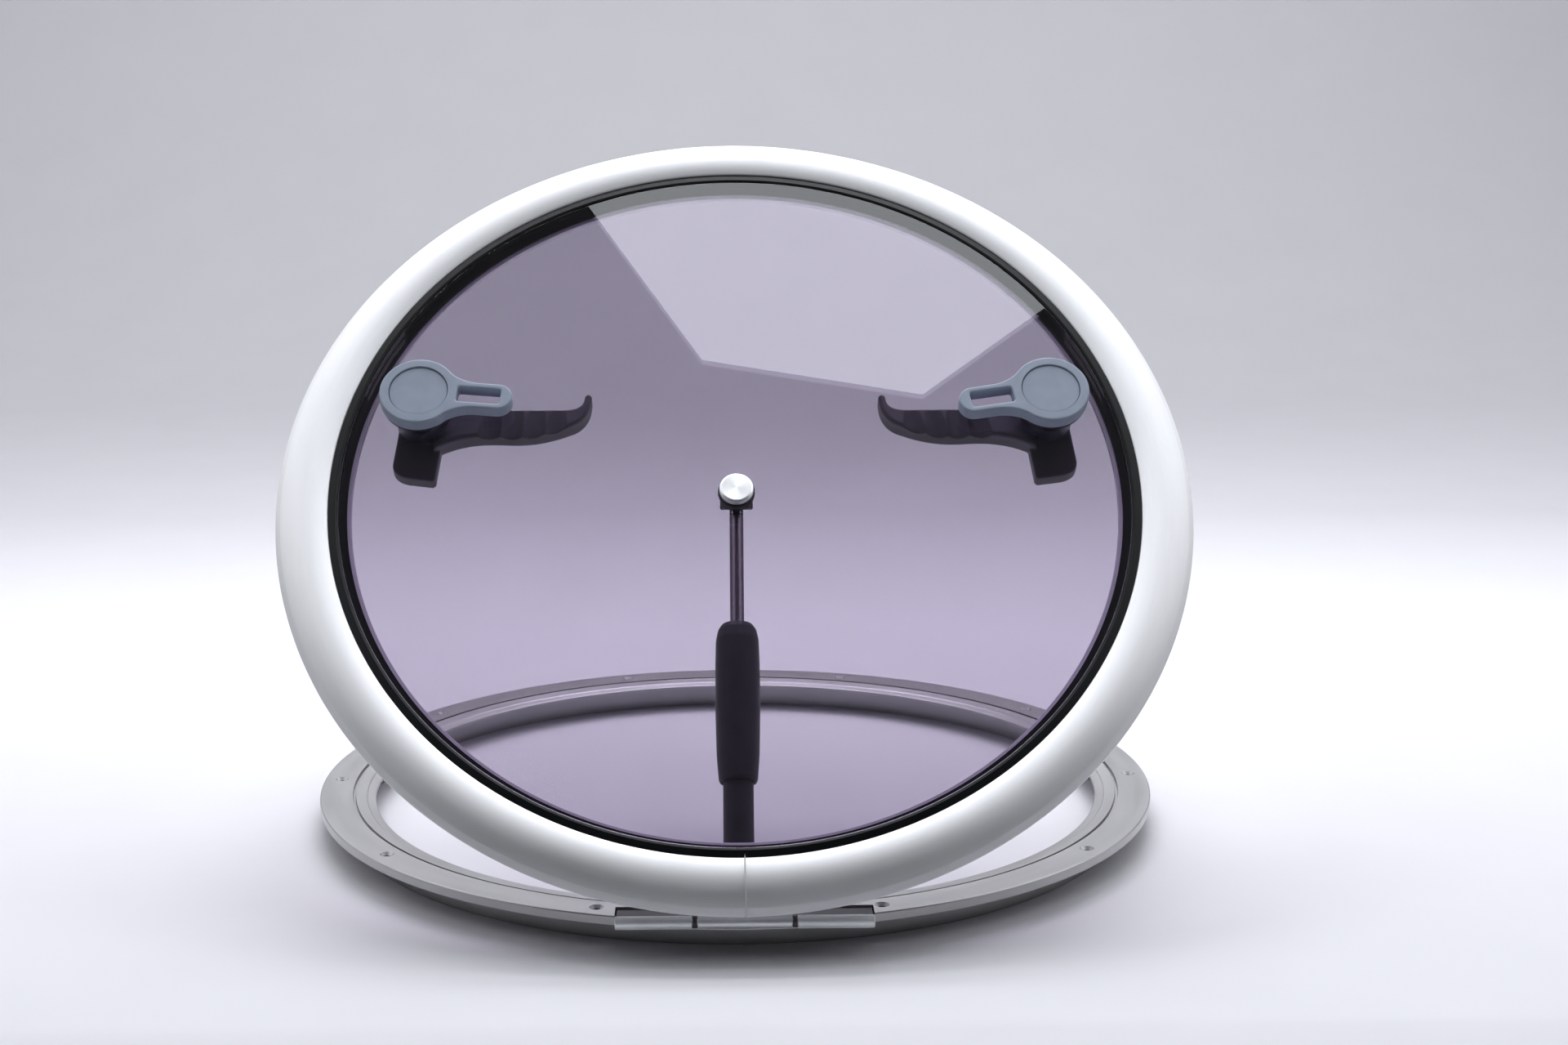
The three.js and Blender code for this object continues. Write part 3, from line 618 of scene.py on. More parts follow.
def smoke_acrylic():
    """Tinted clear acrylic. Lamps' rays pass it straight, dimmed by its tint."""
    material, tree, shader = new_material("smoke_acrylic")
    shader.inputs["Transmission Weight"].default_value = 1.0
    shader.inputs["IOR"].default_value = 1.49
    shader.inputs["Metallic"].default_value = 0.0
    tint = (0.475, 0.425, 0.525)
    drift = spread(tree, noise(tree, speckle(60)(tree), 1.0), 0, 1)
    colour = tinted(tree, drift, [c * 0.99 for c in tint], [c * 1.01 for c in tint])
    tree.links.new(colour, shader.inputs["Base Color"])
    shader.inputs["Roughness"].default_value = 0.0
    passed = node(tree, "ShaderNodeBsdfTransparent")
    passed.inputs["Color"].default_value = (0.68, 0.64, 0.71, 1)
    path = node(tree, "ShaderNodeLightPath")
    mix = node(tree, "ShaderNodeMixShader")
    tree.links.new(path.outputs["Is Shadow Ray"], mix.inputs[0])
    tree.links.new(shader.outputs[0], mix.inputs[1])
    tree.links.new(passed.outputs[0], mix.inputs[2])
    tree.links.new(mix.outputs[0], tree.nodes["Material Output"].inputs["Surface"])
    return {"material": material, "slot": "smoke_acrylic"}


ACRYLIC = smoke_acrylic()

# ---------------------------------------------------------------- base


def countersunk_hole():
    profile = rounded([
        (0, -FLANGE_THICKNESS - 1),
        (SCREW_HOLE, -FLANGE_THICKNESS - 1),
        (SCREW_HOLE, SCREW_HOLE - COUNTERSINK, 0.05),
        (COUNTERSINK, 0, 0.1),
        (COUNTERSINK + 0.35, 0.35),
        (0, 0.35),
    ], closed=False)
    return lathe(profile, 40)


def base_extrusion():
    front = -math.pi / 2 + 2.0 / GROOVE_RADIUS
    profile = rounded([
        (FLANGE_RADIUS, 0, 0.9),
        (FLANGE_RADIUS, -FLANGE_THICKNESS, 0.6),
        (SPIGOT_OUTER, -FLANGE_THICKNESS, 0.5),
        (SPIGOT_OUTER, -BASE_DEPTH, 0.5),
        (SPIGOT_INNER, -BASE_DEPTH, 0.5),
        (SPIGOT_INNER, -5.1, 0.8),
        (OPENING_RADIUS + 0.2, -4.6, 0.5),
        (OPENING_RADIUS, -2.8, 0.8),
        (222.0, -1.75, 0.5),
        (222.6, -1.3, 0.5),
        (GROOVE_RADIUS - 0.95, -0.25, 0.15),
        (GROOVE_RADIUS - 0.7, -2.0),
        (GROOVE_RADIUS + 0.7, -2.0),
        (GROOVE_RADIUS + 0.95, 0, 0.15),
    ])
    ring = lathe(profile, 288, seam=(front % math.tau, 0.3, 0.5, OPENING_RADIUS - 1, -4.5))
    pitch = math.tau / SCREW_COUNT
    holes = []
    for i in range(SCREW_COUNT):
        angle = -math.pi / 2 + (i + 0.5) * pitch
        spot = (SCREW_CIRCLE * math.cos(angle), SCREW_CIRCLE * math.sin(angle))
        holes.append(shifted(countersunk_hole(), *spot))
    notch = block(
        (HINGE_X - NOTCH_HALF, HINGE_X + NOTCH_HALF),
        (-FLANGE_RADIUS - 5, NOTCH_BACK),
        (NOTCH_FLOOR, 2),
        0.6,
    )
    add_piece(
        "base_extrusion", cut(ring, notch, *holes), BASE, "deck_frame", BASE_METAL,
        ("base_ring", "base_spigot"), sharp=30)


# ---------------------------------------------------------------- hinge


def knuckle(x_range):
    return bar(KNUCKLE, x_range, HINGE_Y, HINGE_Z, rounding=0.45, steps=64)


def pin_bore(half):
    return bar(KNUCKLE_BORE, (-half, half), HINGE_Y, HINGE_Z)


def cross_recess(arm, half, low, high):
    """The two crossed blocks that cut a drive recess."""
    return [
        block((-arm, arm), (-half, half), (low, high)),
        block((-half, half), (-arm, arm), (low, high)),
    ]


def screw_head(radius, top, depth, shank, foot, recess):
    """A countersunk head whose face is at z = top, with a cross-shaped drive recess below it."""
    head = lathe(rounded([
        (0, foot),
        (shank, foot, 0.2),
        (shank, top - depth),
        (radius, top - 0.25, 0.15),
        (radius - 0.25, top, 0.1),
        (0, top),
    ], closed=False), 48)
    return cut(head, *cross_recess(recess, 0.42, top - 1.1, top + 1))


def hinge():
    place = BASE @ Matrix.Translation((HINGE_X * MM, 0, 0))
    outer = LID_KNUCKLE_HALF + WASHER + 2 * GAP
    floor = NOTCH_FLOOR + GAP
    back = NOTCH_BACK - 0.5
    leaf = block((-HINGE_HALF, HINGE_HALF), (LEAF_FRONT, back), (floor, LEAF_TOP), 0.35)
    parts = []
    for ends in ((-HINGE_HALF, -outer), (outer, HINGE_HALF)):
        parts.append(block(ends, (-251.5, NOTCH_BACK - 3), (floor + 0.02, LEAF_TOP - 0.02), 0.2))
        parts.append(knuckle(ends))
    bore = pin_bore(HINGE_HALF + 1)
    add_piece(
        "base_hinge_leaf", cut(joined(leaf, *parts), bore), place, "deck_frame", LEAF_STEEL,
        ("hinge_base_leaf",))

    half = HINGE_HALF - 0.6
    pin = bar(PIN_RADIUS, (-half, half), HINGE_Y, HINGE_Z, rounding=0.5)
    add_piece("pivot_pin", pin, place, "deck_frame", STEEL, ("hinge_pin",))
    for side, sign in (("left", -1), ("right", 1)):
        middle = sign * (LID_KNUCKLE_HALF + GAP + WASHER / 2)
        ring = lathe(rounded([
            (KNUCKLE_BORE, middle - WASHER / 2, 0.2),
            (KNUCKLE - 0.2, middle - WASHER / 2, 0.35),
            (KNUCKLE - 0.2, middle + WASHER / 2, 0.35),
            (KNUCKLE_BORE, middle + WASHER / 2, 0.2),
        ]), 48)
        ring.transform(Matrix.Rotation(math.pi / 2, 4, "Y"))
        shifted(ring, 0, HINGE_Y, HINGE_Z)
        add_piece(
            f"pivot_washer_{side}", ring, place, "deck_frame", BLACK_NYLON,
            (f"hinge_washer_{side}",))
    for i, x in enumerate(RIVET_X):
        head = lathe(rounded([
            (0, -FLANGE_THICKNESS),
            (1.9, -FLANGE_THICKNESS, 0.3),
            (1.9, LEAF_TOP - 1.4),
            (3.25, LEAF_TOP - 0.1, 0.1),
            (3.1, LEAF_TOP + 0.05, 0.1),
            (1.6, LEAF_TOP + 0.22, 0.8),
            (0, LEAF_TOP + 0.26),
        ], closed=False), 48)
        add_piece(
            f"base_rivet_{i + 1}", shifted(head, x, RIVET_Y), place, "deck_frame", TURNED_STEEL,
            (f"hinge_rivet_{i + 1}",))

    lid_place = LID @ Matrix.Translation((HINGE_X * MM, 0, 0))
    top = HINGE_Z + KNUCKLE
    reach = (-LID_KNUCKLE_HALF, LID_KNUCKLE_HALF)
    plate = block(reach, (HINGE_Y, LID_LEAF_BACK), (LID_LEAF_BOTTOM, top), 0.35)
    seat = [(0, 0), (3.7, 0), (3.7, 2.1), (2.2, 3.6), (2.2, 9), (0, 9)]
    seats = [shifted(lathe(seat, 40), x, LID_SCREW_Y) for x in LID_SCREW_X]
    leaf = cut(joined(plate, knuckle(reach)), pin_bore(LID_KNUCKLE_HALF + 1), *seats)
    add_piece("lid_hinge_leaf", leaf, lid_place, "lid", STEEL, ("hinge_lid_leaf",))
    for i, x in enumerate(LID_SCREW_X):
        screw = screw_head(3.4, -LID_LEAF_BOTTOM, 1.5, 1.9, -10, 1.9)
        screw.transform(Matrix.Rotation(math.pi, 4, "X"))
        add_piece(
            f"lid_leaf_screw_{i + 1}", shifted(screw, x, LID_SCREW_Y), lid_place, "lid",
            TURNED_STEEL, (f"hinge_lid_screw_{i + 1}",))


# ---------------------------------------------------------------- lid ring, pane and seals


def dome(radius, start, end, steps):
    """Points of the lid's domed section, from one lean of its normal to another."""
    centre = (
        LID_INNER - DOME_RADIUS * math.sin(DOME_START),
        LID_INNER_TOP - DOME_RADIUS * math.cos(DOME_START),
    )
    return arc(centre, radius, math.pi / 2 - start, math.pi / 2 - end, steps)


def lid_extrusion():
    skin = 4
    profile = [
        (LID_INNER, LID_INNER_TOP - 0.5),
        (LID_INNER + 0.2, LID_INNER_TOP - 0.1),
        *dome(DOME_RADIUS, DOME_START + 1.2 * DEG, DOME_END, 30),
        *rounded([(253.2, 16.8), (255.7, 13.9, 0.4), (256, 13.2, 0.3), (255.5, 12.4, 0.4),
                  (250.6, 12, 0.3), (250, 11.4)], closed=False, steps=4),
        *rounded([(SKIRT_RADIUS, 8), (SKIRT_RADIUS, 1.5, 0.5), (SKIRT_RADIUS - 2.6, 1.5, 0.5),
                  (SKIRT_RADIUS - 2.6, 12)], closed=False),
        *dome(DOME_RADIUS - skin, 24 * DEG, -14 * DEG, 8),
        *rounded([(230.2, 15.5), (230.2, LEDGE_BOTTOM, 0.4), (LEDGE_RADIUS, LEDGE_BOTTOM, 0.5),
                  (LEDGE_RADIUS, LEDGE_TOP, 0.5), (LID_INNER, LEDGE_TOP)], closed=False),
    ]
    front = -math.pi / 2 + SEAM_X / SKIRT_RADIUS
    ring = lathe(profile, 320, seam=(front % math.tau, 0.4, 2.2, LID_INNER - 0.1, 11.9))
    leaf_half = LID_KNUCKLE_HALF + 0.6
    leaf_top = HINGE_Z + KNUCKLE + GAP
    pad = block((HINGE_X - 30, HINGE_X + 30), (-246.5, -231), (leaf_top, 15), 0.4)
    gate = block((HINGE_X - leaf_half, HINGE_X + leaf_half), (-252, -232), (0, leaf_top))
    add_piece(
        "lid_extrusion", cut(joined(ring, pad), gate), LID, "lid", LID_METAL, ("lid_ring",),
        sharp=30)


def pane_hole(radius, steps):
    return lathe([(0, 9), (radius, 9), (radius, 22), (0, 22)], steps)


def glazing():
    bed_top = PANE_BOTTOM - GAP
    bead = rounded([
        (216.6, LEDGE_TOP + GAP),
        (LID_INNER - GAP, LEDGE_TOP + GAP),
        (LID_INNER - 0.25, PANE_TOP - 0.2, 0.4),
        (224.6, PANE_TOP + 0.1, 1.0),
        (222.6, PANE_TOP + 0.45, 0.9),
        (PANE_RADIUS + 0.15, PANE_TOP + 0.1, 0.3),
        (PANE_RADIUS + GAP, bed_top),
        (216.6, bed_top),
    ])
    add_piece("glazing_bead", lathe(bead, 288), LID, "lid", SEALANT, ("glazing_sealant",), sharp=50)

    blank = lathe(rounded([
        (0, PANE_BOTTOM),
        (PANE_RADIUS, PANE_BOTTOM, 0.5),
        (PANE_RADIUS, PANE_TOP, 0.5),
        (0, PANE_TOP),
    ], closed=False), 288)
    holes = []
    for x, y in latch_axis.values():
        holes.append(shifted(pane_hole(9.6, 64), x, y))
    holes.append(shifted(pane_hole(3.5, 48), 0, bolt_y))
    add_piece("smoked_pane", cut(blank, *holes), LID, "lid", ACRYLIC, ("acrylic_pane",), sharp=30)

    seal = rounded([
        (219.5, LEDGE_BOTTOM - GAP, 0.4),
        (219.5, 1.2, 1.0),
        (221.2, -0.9, 1.5),
        (225.2, -0.9, 1.5),
        (227, 1.2, 1.0),
        (227, LEDGE_BOTTOM - GAP, 0.4),
    ])
    add_piece("compression_seal", lathe(seal, 256), LID, "lid", RUBBER, ("lid_seal",), sharp=50)


# ---------------------------------------------------------------- latch units


def handle_outline():
    blend = 40 * DEG
    on_disc = (DISC_RADIUS * math.cos(blend), DISC_RADIUS * math.sin(blend))
    below = (on_disc[0], -on_disc[1])
    end = HANDLE_REACH - ARM_HALF
    return [
        *arc((0, 0), DISC_RADIUS, blend, math.tau - blend, 72),
        *quadratic(below, (23.5, -ARM_HALF - 0.2), (33, -ARM_HALF)),
        *arc((end, 0), ARM_HALF, -math.pi / 2, math.pi / 2, 28),
        *quadratic((33, ARM_HALF), (23.5, ARM_HALF + 0.2), on_disc)[:-1],
    ]


def quadratic(start, control, end, steps=10):
    line = []
    for k in range(1, steps + 1):
        t = k / steps
        u = 1 - t
        weights = (u * u, 2 * u * t, t * t)
        points = (start, control, end)
        line.append(tuple(sum(w * p[axis] for w, p in zip(weights, points)) for axis in (0, 1)))
    return line


def outer_handle(name, sign):
    slot_line = rounded([(22, -4.9, 1.6), (46.5, -4.9, 1.6), (46.5, 4.9, 1.6), (22, 4.9, 1.6)])
    body = slab(handle_outline(), HANDLE_BOTTOM, HANDLE_TOP, 1.1, holes=[slot_line])
    seat_radius = 16.7
    seat = lathe(rounded([
        (0, CAP_SEAT), (seat_radius, CAP_SEAT, 0.4), (seat_radius, 31.0, 0.1), (17.2, 31.5),
        (17.2, 33), (0, 33),
    ], closed=False), 96)
    bore = lathe([(0, 20), (5.3, 20), (5.3, 26.8), (0, 26.8)], 32)
    handle = mirrored(cut(body, seat, bore), sign)
    add_piece(
        f"{name}_handle_body", handle, LATCH[name], f"{name}_latch", GREY_NYLON,
        (f"{name}_outer_handle",), sharp=32)
    cap = lathe(rounded([
        (0, CAP_SEAT + GAP),
        (CAP_RADIUS, CAP_SEAT + GAP, 0.3),
        (CAP_RADIUS, 30.4, 0.35),
        (15.0, 30.45, 0.4),
        (0, 30.25),
    ], closed=False), 96)
    add_piece(
        f"{name}_cap", cap, LATCH[name], f"{name}_latch", GREY_NYLON, (f"{name}_handle_cap",))


def lever_outline():
    tip = (92.5, 23.8)
    tip_radius = 2.1
    return [
        (9, -20),
        *bezier((9, -20), (19, -13), (28, -8.6), (46, -7.7)),
        *bezier((46, -7.7), (60, -7.6), (72, -4.6), (84.5, 2.6)),
        *bezier((84.5, 2.6), (90.5, 5.2), (94.4, 11.5), (tip[0] + tip_radius, 19)),
        *arc(tip, tip_radius, 0, math.pi, 12),
        *bezier((tip[0] - tip_radius, tip[1]), (tip[0] - tip_radius, 18), (88, 14.8), (79, 13.8)),
        (46, 10.6),
        (6, 11),
    ]


def finger_groove(x):
    """A trough across the lever's upper face, deeper on its -Y side."""
    radius = FINGER_GROOVE_RADIUS
    trough = lathe([(0, -30), (radius, -30), (radius, 30), (0, 30)], 72)
    lean = Matrix.Rotation(9 * DEG, 4, "X") @ Matrix.Rotation(math.pi / 2, 4, "X")
    trough.transform(lean)
    return shifted(trough, x, 12, radius - 1)


def tongue_outline():
    tip = -TONGUE_REACH
    return [
        (TONGUE_OUTER, 0),
        *quadratic((TONGUE_OUTER, 11 + tip), (TONGUE_OUTER, 1.8 + tip), (-3, 0.5 + tip)),
        (TONGUE_INNER - 1.5, tip),
        (TONGUE_INNER, 1.5 + tip),
        (TONGUE_INNER, 0),
    ]


def inner_handle(name, sign):
    grooves = [finger_groove(x) for x in FINGER_GROOVE_X]
    lever = cut(slab(lever_outline(), HUB_BOTTOM, 0, 2.0), *grooves)
    hub = lathe(rounded([
        (0, HUB_BOTTOM), (HUB_RADIUS, HUB_BOTTOM, 1.5), (HUB_RADIUS, 7.2, 1.2), (0, 7.2),
    ], closed=False), 72)
    tongue = slab(tongue_outline(), -14, -5.2, 1.2)
    body = moulded(joined(lever, hub, tongue), 0.5, 2)
    bore = lathe([(0, -9), (6.8, -9), (6.8, 9), (0, 9)], 48)
    screw_way = lathe([(0, -16), (5, -16), (5, -12), (2.3, -12), (2.3, -8), (0, -8)], 40)
    body = mirrored(cut(body, bore, screw_way), sign)
    place = LATCH[name] @ Matrix.Rotation(sign * SLACK[name], 4, "Z")
    add_piece(
        f"{name}_lever", body, place, f"{name}_latch", LEVER_NYLON, (f"{name}_inner_handle",),
        sharp=50)


def latch_unit(name, sign):
    body = f"{name}_latch"
    place = LATCH[name]
    outer_handle(name, sign)
    inner_handle(name, sign)
    stem = lathe(rounded([
        (0, 0.5), (2.3, 0.5), (2.3, -8.7, 0.1), (SPINDLE_RADIUS, -8.7, 0.4),
        (SPINDLE_RADIUS, 13.4, 0.2), (5.3, 13.4, 0.2), (5.3, 16.2, 0.2),
        (SPINDLE_RADIUS, 16.2, 0.2), (SPINDLE_RADIUS, 22.5, 0.2), (5, 22.5, 0.2),
        (5, 26.4, 0.4), (0, 26.4),
    ], closed=False), 64)
    add_piece(f"{name}_stem", stem, place, body, TURNED_STEEL, (f"{name}_spindle",))
    ring = lathe(arc((6.1, 14.8), 0.95, 0, math.tau * 15 / 16, 15), 64)
    add_piece(f"{name}_stem_o_ring", ring, place, body, RUBBER, (f"{name}_o_ring",), sharp=60)
    screw = screw_head(4.6, 14.3, 1.0, 1.9, -0.2, 2.4)
    screw.transform(Matrix.Rotation(math.pi, 4, "X"))
    add_piece(f"{name}_lever_screw", screw, place, body, TURNED_STEEL, (f"{name}_handle_screw",))

    x, y = latch_axis[name]
    on_lid = LID @ Matrix.Translation((x * MM, y * MM, 0))
    bush = lathe(rounded([
        (BUSH_BORE, 7.6, 0.3), (16, 7.6, 0.6), (16, 10.0, 0.4), (BUSH_RADIUS, 10.0, 0.2),
        (BUSH_RADIUS, PANE_TOP, 0.3), (BUSH_BORE, PANE_TOP, 0.3),
    ]), 72)
    add_piece(f"{name}_bush", bush, on_lid, "lid", BLACK_NYLON, (f"{name}_pane_bush",))
    gasket = lathe(rounded([
        (7.2, 20.6, 0.3), (21.3, 20.6, 0.6), (21.3, 22.6, 0.6), (7.2, 22.6, 0.3),
    ]), 96)
    add_piece(f"{name}_gasket", gasket, on_lid, "lid", RUBBER, (f"{name}_handle_gasket",))


# ---------------------------------------------------------------- stay


def stay_head():
    place = LID @ Matrix.Translation((0, bolt_y * MM, 0))
    knob = lathe(rounded([
        (0, 8.4), (BOLT_RADIUS, 8.4, 0.3), (BOLT_RADIUS, 23.6), (KNOB_RADIUS, 23.6, 0.4),
        (KNOB_RADIUS, 26.9, 0.7), (KNOB_RADIUS - 1.2, 27.3, 0.3), (0, 27.3),
    ], closed=False), 128)
    add_piece("stay_knob", knob, place, "lid", KNOB_STEEL, ("stay_bolt",), sharp=30)
    washer = lathe(rounded([
        (3.3, 20.5, 0.3), (KNOB_WASHER, 20.5, 0.7), (KNOB_WASHER, 23.4, 0.7), (3.3, 23.4, 0.3),
    ]), 96)
    add_piece("knob_washer", washer, place, "lid", RUBBER, ("stay_bolt_washer",))

    half = 9.15
    plate = slab(
        rounded([(-half, 6.8, 1.6), (half, 6.8, 1.6), (half, 10, 0.3), (-half, 10, 0.3)]),
        -4.4, 4.4, 0.4)
    plate.transform(Matrix.Rotation(math.pi / 2, 4, "X"))
    lug = block((-LUG_HALF, LUG_HALF), (-3.4, 3.4), (stay_pivot_z, 8), 0.3)
    eye = bar(3.4, (-LUG_HALF, LUG_HALF), 0, stay_pivot_z, rounding=0.3)
    bore = bar(CROSS_PIN_BORE, (-5, 5), 0, stay_pivot_z)
    seat = lathe([(0, 8.1), (3.3, 8.1), (3.3, 12), (0, 12)], 48)
    add_piece(
        "clevis", cut(joined(plate, lug, eye), bore, seat), place, "lid", LEVER_NYLON,
        ("stay_clevis",))
    pin = bar(CROSS_PIN, (-3.5, 3.5), 0, stay_pivot_z, rounding=0.3)
    add_piece("clevis_cross_pin", pin, place, "lid", TURNED_STEEL, ("stay_clevis_pin",))


def stay_leg():
    rod_top = stay_length - 4.2
    fork_start = stay_length - 12
    rod = lathe(rounded([
        (0, 62), (ROD_RADIUS, 62, 0.4), (ROD_RADIUS, rod_top, 0.4), (2.6, rod_top, 0.2),
        (2.6, fork_start - GAP), (0, fork_start - GAP),
    ], closed=False), 96)
    add_piece("inner_rod", rod, LEG, "stay_rod_assembly", ROD_STEEL, ("stay_rod",), sharp=30)

    stem = lathe(rounded([
        (0, fork_start), (2.3, fork_start, 0.3), (2.3, rod_top + GAP),
        (ROD_RADIUS, rod_top + GAP, 0.3), (ROD_RADIUS, stay_length + 1.2, 1.2),
        (2.8, stay_length + ROD_RADIUS, 1.4), (0, stay_length + ROD_RADIUS),
    ], closed=False), 72)
    slot = block((-LUG_HALF - GAP, LUG_HALF + GAP), (-5, 5), (stay_length - 3.75, stay_length + 5))
    bore = bar(CROSS_PIN_BORE, (-5, 5), 0, stay_length)
    add_piece(
        "rod_fork", cut(stem, slot, bore), LEG, "stay_rod_assembly", BLACK_NYLON,
        ("stay_rod_fork",))
    guide = lathe(rounded([
        (0, 56), (6.6, 56, 0.6), (6.6, 58.2, 0.2), (6.1, 58.5, 0.2), (6.1, 59.5, 0.2),
        (6.6, 59.8, 0.2), (6.6, 61.7, 0.6), (0, 61.7),
    ], closed=False), 64)
    add_piece("rod_guide", guide, LEG, "stay_rod_assembly", BLACK_NYLON, ("stay_rod_guide",))

    tube = lathe(rounded([
        (TUBE_BORE, TUBE_START, 0.3), (TUBE_RADIUS, TUBE_START, 0.4), (TUBE_RADIUS, TUBE_END, 0.4),
        (TUBE_BORE, TUBE_END, 0.3),
    ]), 96)
    add_piece("outer_tube", tube, LEG, "stay_tube_assembly", BLACK_NYLON, ("stay_tube",))
    collet = lathe(rounded([
        (ROD_RADIUS + 0.35, TUBE_END - 14, 0.2), (TUBE_BORE - 0.35, TUBE_END - 14, 0.4),
        (TUBE_BORE - 0.35, TUBE_END - GAP, 0.2), (ROD_RADIUS + 0.35, TUBE_END - GAP, 0.4),
    ]), 64)
    add_piece("rod_collet", collet, LEG, "stay_tube_assembly", BLACK_NYLON, ("stay_collet",))
    eye = bar(EYE_RADIUS, (-4, 4), rounding=0.5, steps=64)
    neck = block((-4, 4), (-EYE_RADIUS, EYE_RADIUS), (0, 13), 0.5)
    collar = lathe(rounded([
        (0, 12), (TUBE_RADIUS, 12, 1.0), (TUBE_RADIUS, TUBE_START - GAP, 0.3),
        (TUBE_BORE - 0.4, TUBE_START - GAP), (TUBE_BORE - 0.4, 27, 0.6), (0, 27),
    ], closed=False), 72)
    plug = cut(joined(eye, neck, collar), bar(2.6, (-6, 6)))
    add_piece("foot_plug", plug, LEG, "stay_tube_assembly", BLACK_NYLON, ("stay_foot_plug",))
    bush = lathe(rounded([(1.55, -4, 0.2), (2.25, -4, 0.2), (2.25, 4, 0.2), (1.55, 4, 0.2)]), 48)
    bush.transform(Matrix.Rotation(math.pi / 2, 4, "Y"))
    add_piece("foot_eye_bush", bush, LEG, "stay_tube_assembly", STEEL, ("stay_foot_bush",))

    grip = lathe(rounded([
        (8.65, GRIP_START, 0.3), (9.9, GRIP_START, 0.6), (10.6, GRIP_START + 1.8, 1.5),
        (11.6, GRIP_START + 15, 18), (12.2, GRIP_START + 41, 20), (12.2, GRIP_START + 66, 20),
        (11.8, GRIP_END - 9, 6), (10.6, GRIP_END - 3, 3), (8.6, GRIP_END, 0.8),
        (ROD_RADIUS + 0.5, GRIP_END, 0.3), (ROD_RADIUS + 0.5, GRIP_END - 6.4),
        (8.65, GRIP_END - 6.4),
    ], steps=8), 144)
    add_piece("barrel_grip", grip, LEG, "twist_grip", BLACK_NYLON, ("stay_twist_grip",), sharp=40)


def stay_bracket():
    wall_y = -225.3 - (stay_foot.y - base_centre.y) / MM
    foot_z = (stay_foot.z - flange_top) / MM
    back_y = wall_y - 2.6
    plate = block((-15, 15), (back_y, wall_y), (-18.5 - foot_z, -6.4 - foot_z), 0.5)
    parts = []
    for ends in ((-7, -4.6), (4.6, 7)):
        parts.append(block(ends, (wall_y - 0.5, 0), (-5.2, 2.4), 0.3))
        parts.append(bar(5.2, ends, rounding=0.35, steps=64))
    bores = [bar(2.3, (-10, 10), steps=32)]
    for x in BRACKET_SCREW_X:
        hole = lathe([(0, -3), (2, -3), (2, 6), (0, 6)], 32)
        hole.transform(Matrix.Rotation(-math.pi / 2, 4, "X"))
        bores.append(shifted(hole, x, back_y, BRACKET_SCREW_Z - foot_z))
    bracket = cut(joined(plate, *parts), *bores)
    add_piece("foot_bracket", bracket, FOOT, "deck_frame", STEEL, ("stay_foot_bracket",))
    for i, sign in enumerate((-1, 1)):
        stud = lathe(rounded([
            (0, 4.6), (STUD_RADIUS, 4.6, 0.3), (STUD_RADIUS, 7.3), (3.6, 7.3, 0.2),
            (3.6, 8.3, 0.6), (2.2, 8.9, 1.0), (0, 8.9),
        ], closed=False), 48)
        stud.transform(Matrix.Rotation(sign * math.pi / 2, 4, "Y"))
        add_piece(
            f"foot_stud_{i + 1}", stud, FOOT, "deck_frame", TURNED_STEEL,
            (f"stay_foot_stud_{i + 1}",))
    for i, x in enumerate(BRACKET_SCREW_X):
        screw = lathe(rounded([
            (0, -6.6), (1.7, -6.6, 0.4), (1.7, GAP), (3.2, GAP, 0.15), (3.2, 1.2, 0.8),
            (2.0, 2.3, 0.8), (0, 2.4),
        ], closed=False), 48)
        screw = cut(screw, *cross_recess(1.7, 0.35, 1.4, 4))
        screw.transform(Matrix.Rotation(-math.pi / 2, 4, "X"))
        add_piece(
            f"bracket_screw_{i + 1}", shifted(screw, x, wall_y, BRACKET_SCREW_Z - foot_z), FOOT,
            "deck_frame", TURNED_STEEL, (f"stay_bracket_screw_{i + 1}",))


base_extrusion()
hinge()
lid_extrusion()
glazing()
for latch_name, latch_sign in SIDES.items():
    latch_unit(latch_name, latch_sign)
stay_head()
stay_leg()
stay_bracket()

# ---------------------------------------------------------------- stage and lights


def paper():
    material, tree, shader = new_material("paper")
    drift = noise(tree, speckle(90)(tree), 4.0)
    shade = tinted(tree, drift, (0.69, 0.685, 0.715), (0.73, 0.725, 0.755))
    tree.links.new(shade, shader.inputs["Base Color"])
    shader.inputs["Roughness"].default_value = 0.7
    # Painted shade: the paper falls darker towards the back of the stage, from 0.45 m to 0.95 m
    # behind the object.
    painted_shade({"tree": tree, "shader": shader}, "Y", 450, 950, 0.76)
    return material


def sheet_along(line, half):
    """A sheet that follows the line [(y, z)] in metres, reaching half its width to either side."""
    bm = bmesh.new()
    rows = [[bm.verts.new((x, y, z)) for y, z in line] for x in (-half, half)]
    for i in range(len(line) - 1):
        bm.faces.new([rows[0][i], rows[1][i], rows[1][i + 1], rows[0][i + 1]])
    return mesh_from(bm)


def sweep():
    """A floor that curves up into a backdrop well behind the object."""
    near, far, height, bend, half = -4.0, 2.6, 3.0, 0.9, 4.0
    line = [(near, 0.0), (far - bend, 0.0)]
    line += arc((far - bend, bend), bend, -math.pi / 2, 0, 24)[1:]
    line.append((far, height))
    mesh = sheet_along(line, half)
    mesh.shade_smooth()
    mesh.materials.append(paper())
    stage = placed("stage", mesh)


def softbox(name, place, aim, size, power, spread=180, colour=(0.94, 0.955, 1.0)):
    lamp = bpy.data.lights.new(name, "AREA")
    lamp.shape = "RECTANGLE"
    lamp.size, lamp.size_y = size
    lamp.energy = power
    lamp.spread = spread * DEG
    lamp.color = colour
    holder = placed(name, lamp)
    holder.location = place
    holder.rotation_euler = (Vector(aim) - Vector(place)).to_track_quat("-Z", "Y").to_euler()
    holder.visible_camera = False


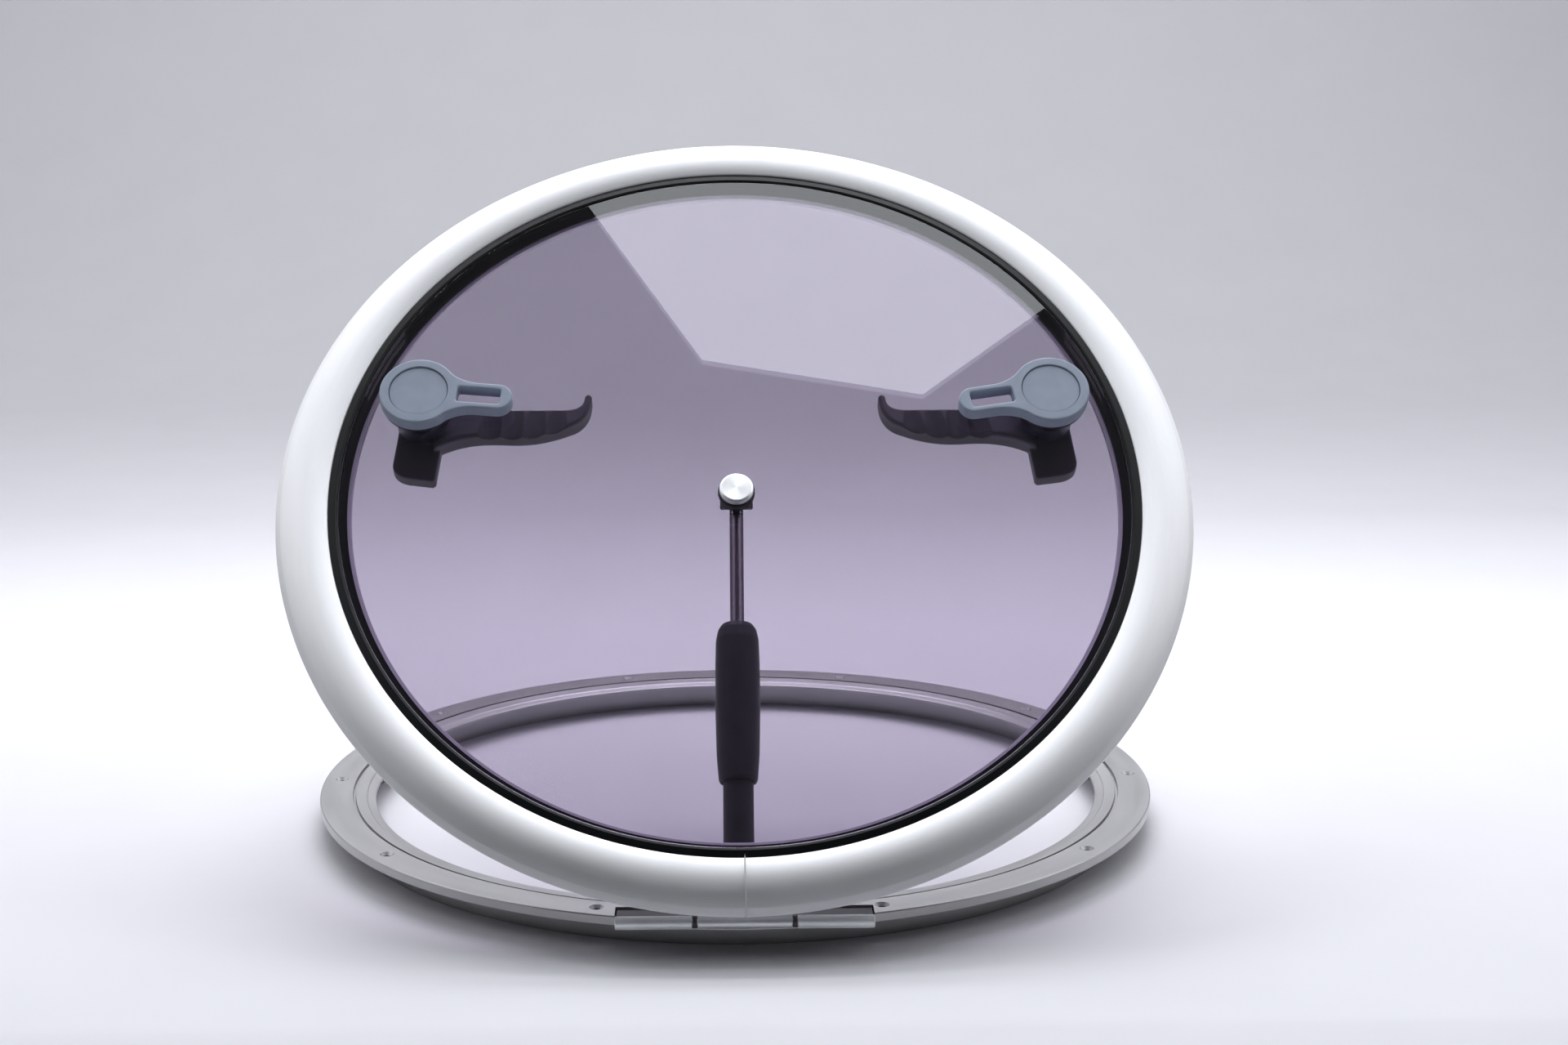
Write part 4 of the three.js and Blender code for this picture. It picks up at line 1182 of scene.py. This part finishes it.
def octabox(place, width, strength):
    """An eight-sided softbox that faces straight down and shows in the pane as a reflection."""
    outer = width / 2 / math.cos(math.pi / 8)
    turn = -9.2 * DEG
    bm = bmesh.new()
    rim = [turn + math.pi / 8 + k * math.pi / 4 for k in range(8)]
    bm.faces.new([bm.verts.new((outer * math.cos(a), outer * math.sin(a), 0)) for a in rim])
    mesh = mesh_from(bm)
    material, tree, _ = new_material("octabox")
    glow = node(tree, "ShaderNodeEmission")
    glow.inputs["Color"].default_value = (0.91, 0.95, 1.0, 1)
    glow.inputs["Strength"].default_value = strength
    tree.links.new(glow.outputs[0], tree.nodes["Material Output"].inputs["Surface"])
    mesh.materials.append(material)
    box = placed("octabox", mesh)
    box.location = place
    box.visible_camera = False


def dark_reflection_card():
    """A black sheet in front of the object that only reflections see: a painted dark reflection,
    standing in for a dark room.
    """
    near, far, height, half = -0.33, -2.6, 1.1, 0.9
    lift = 0.004
    mesh = sheet_along([(near, lift), (far, lift), (far, height)], half)
    material, _, shader = new_material("dark_reflection_card")
    shader.inputs["Base Color"].default_value = (0.02, 0.02, 0.02, 1)
    shader.inputs["Roughness"].default_value = 1.0
    mesh.materials.append(material)
    card = placed("dark_reflection_card", mesh)
    card.visible_camera = False
    card.visible_diffuse = False
    card.visible_shadow = False
    card.visible_transmission = False


def room_light(front, back, colour):
    """Faint light from all round, less of it from the front than from behind the object."""
    world = bpy.data.worlds.new("room")
    world.use_nodes = True
    tree = world.node_tree
    direction = node(tree, "ShaderNodeTexCoord").outputs["Generated"]
    split = node(tree, "ShaderNodeSeparateXYZ")
    tree.links.new(direction, split.inputs[0])
    rise = node(tree, "ShaderNodeMapRange", interpolation_type="SMOOTHSTEP")
    for name, value in (("From Min", -0.7), ("From Max", 0.7), ("To Min", front), ("To Max", back)):
        rise.inputs[name].default_value = value
    tree.links.new(split.outputs[1], rise.inputs["Value"])
    background = tree.nodes["Background"]
    background.inputs["Color"].default_value = (*colour, 1)
    tree.links.new(rise.outputs["Result"], background.inputs["Strength"])
    bpy.context.scene.world = world


sweep()
dark_reflection_card()
room_light(0.06, 0.3, (0.92, 0.95, 1.0))
octabox((0.166, 0.007, 2.0), 0.70, 5.0)
softbox("left", (-1.6, 0.25, 1.75), (0, 0.0, 0.2), (2.8, 2.2), 22)
softbox("right", (1.6, 0.25, 1.75), (0, 0.0, 0.2), (2.8, 2.2), 24)
softbox("behind", (0, 1.3, 1.8), (0, 0.35, 0), (1.8, 0.8), 4.5, spread=60)
softbox("backdrop", (0, 1.0, 2.9), (0, 2.6, 0.7), (3.2, 0.6), 60)

bpy.context.scene.view_settings.view_transform = "Standard"
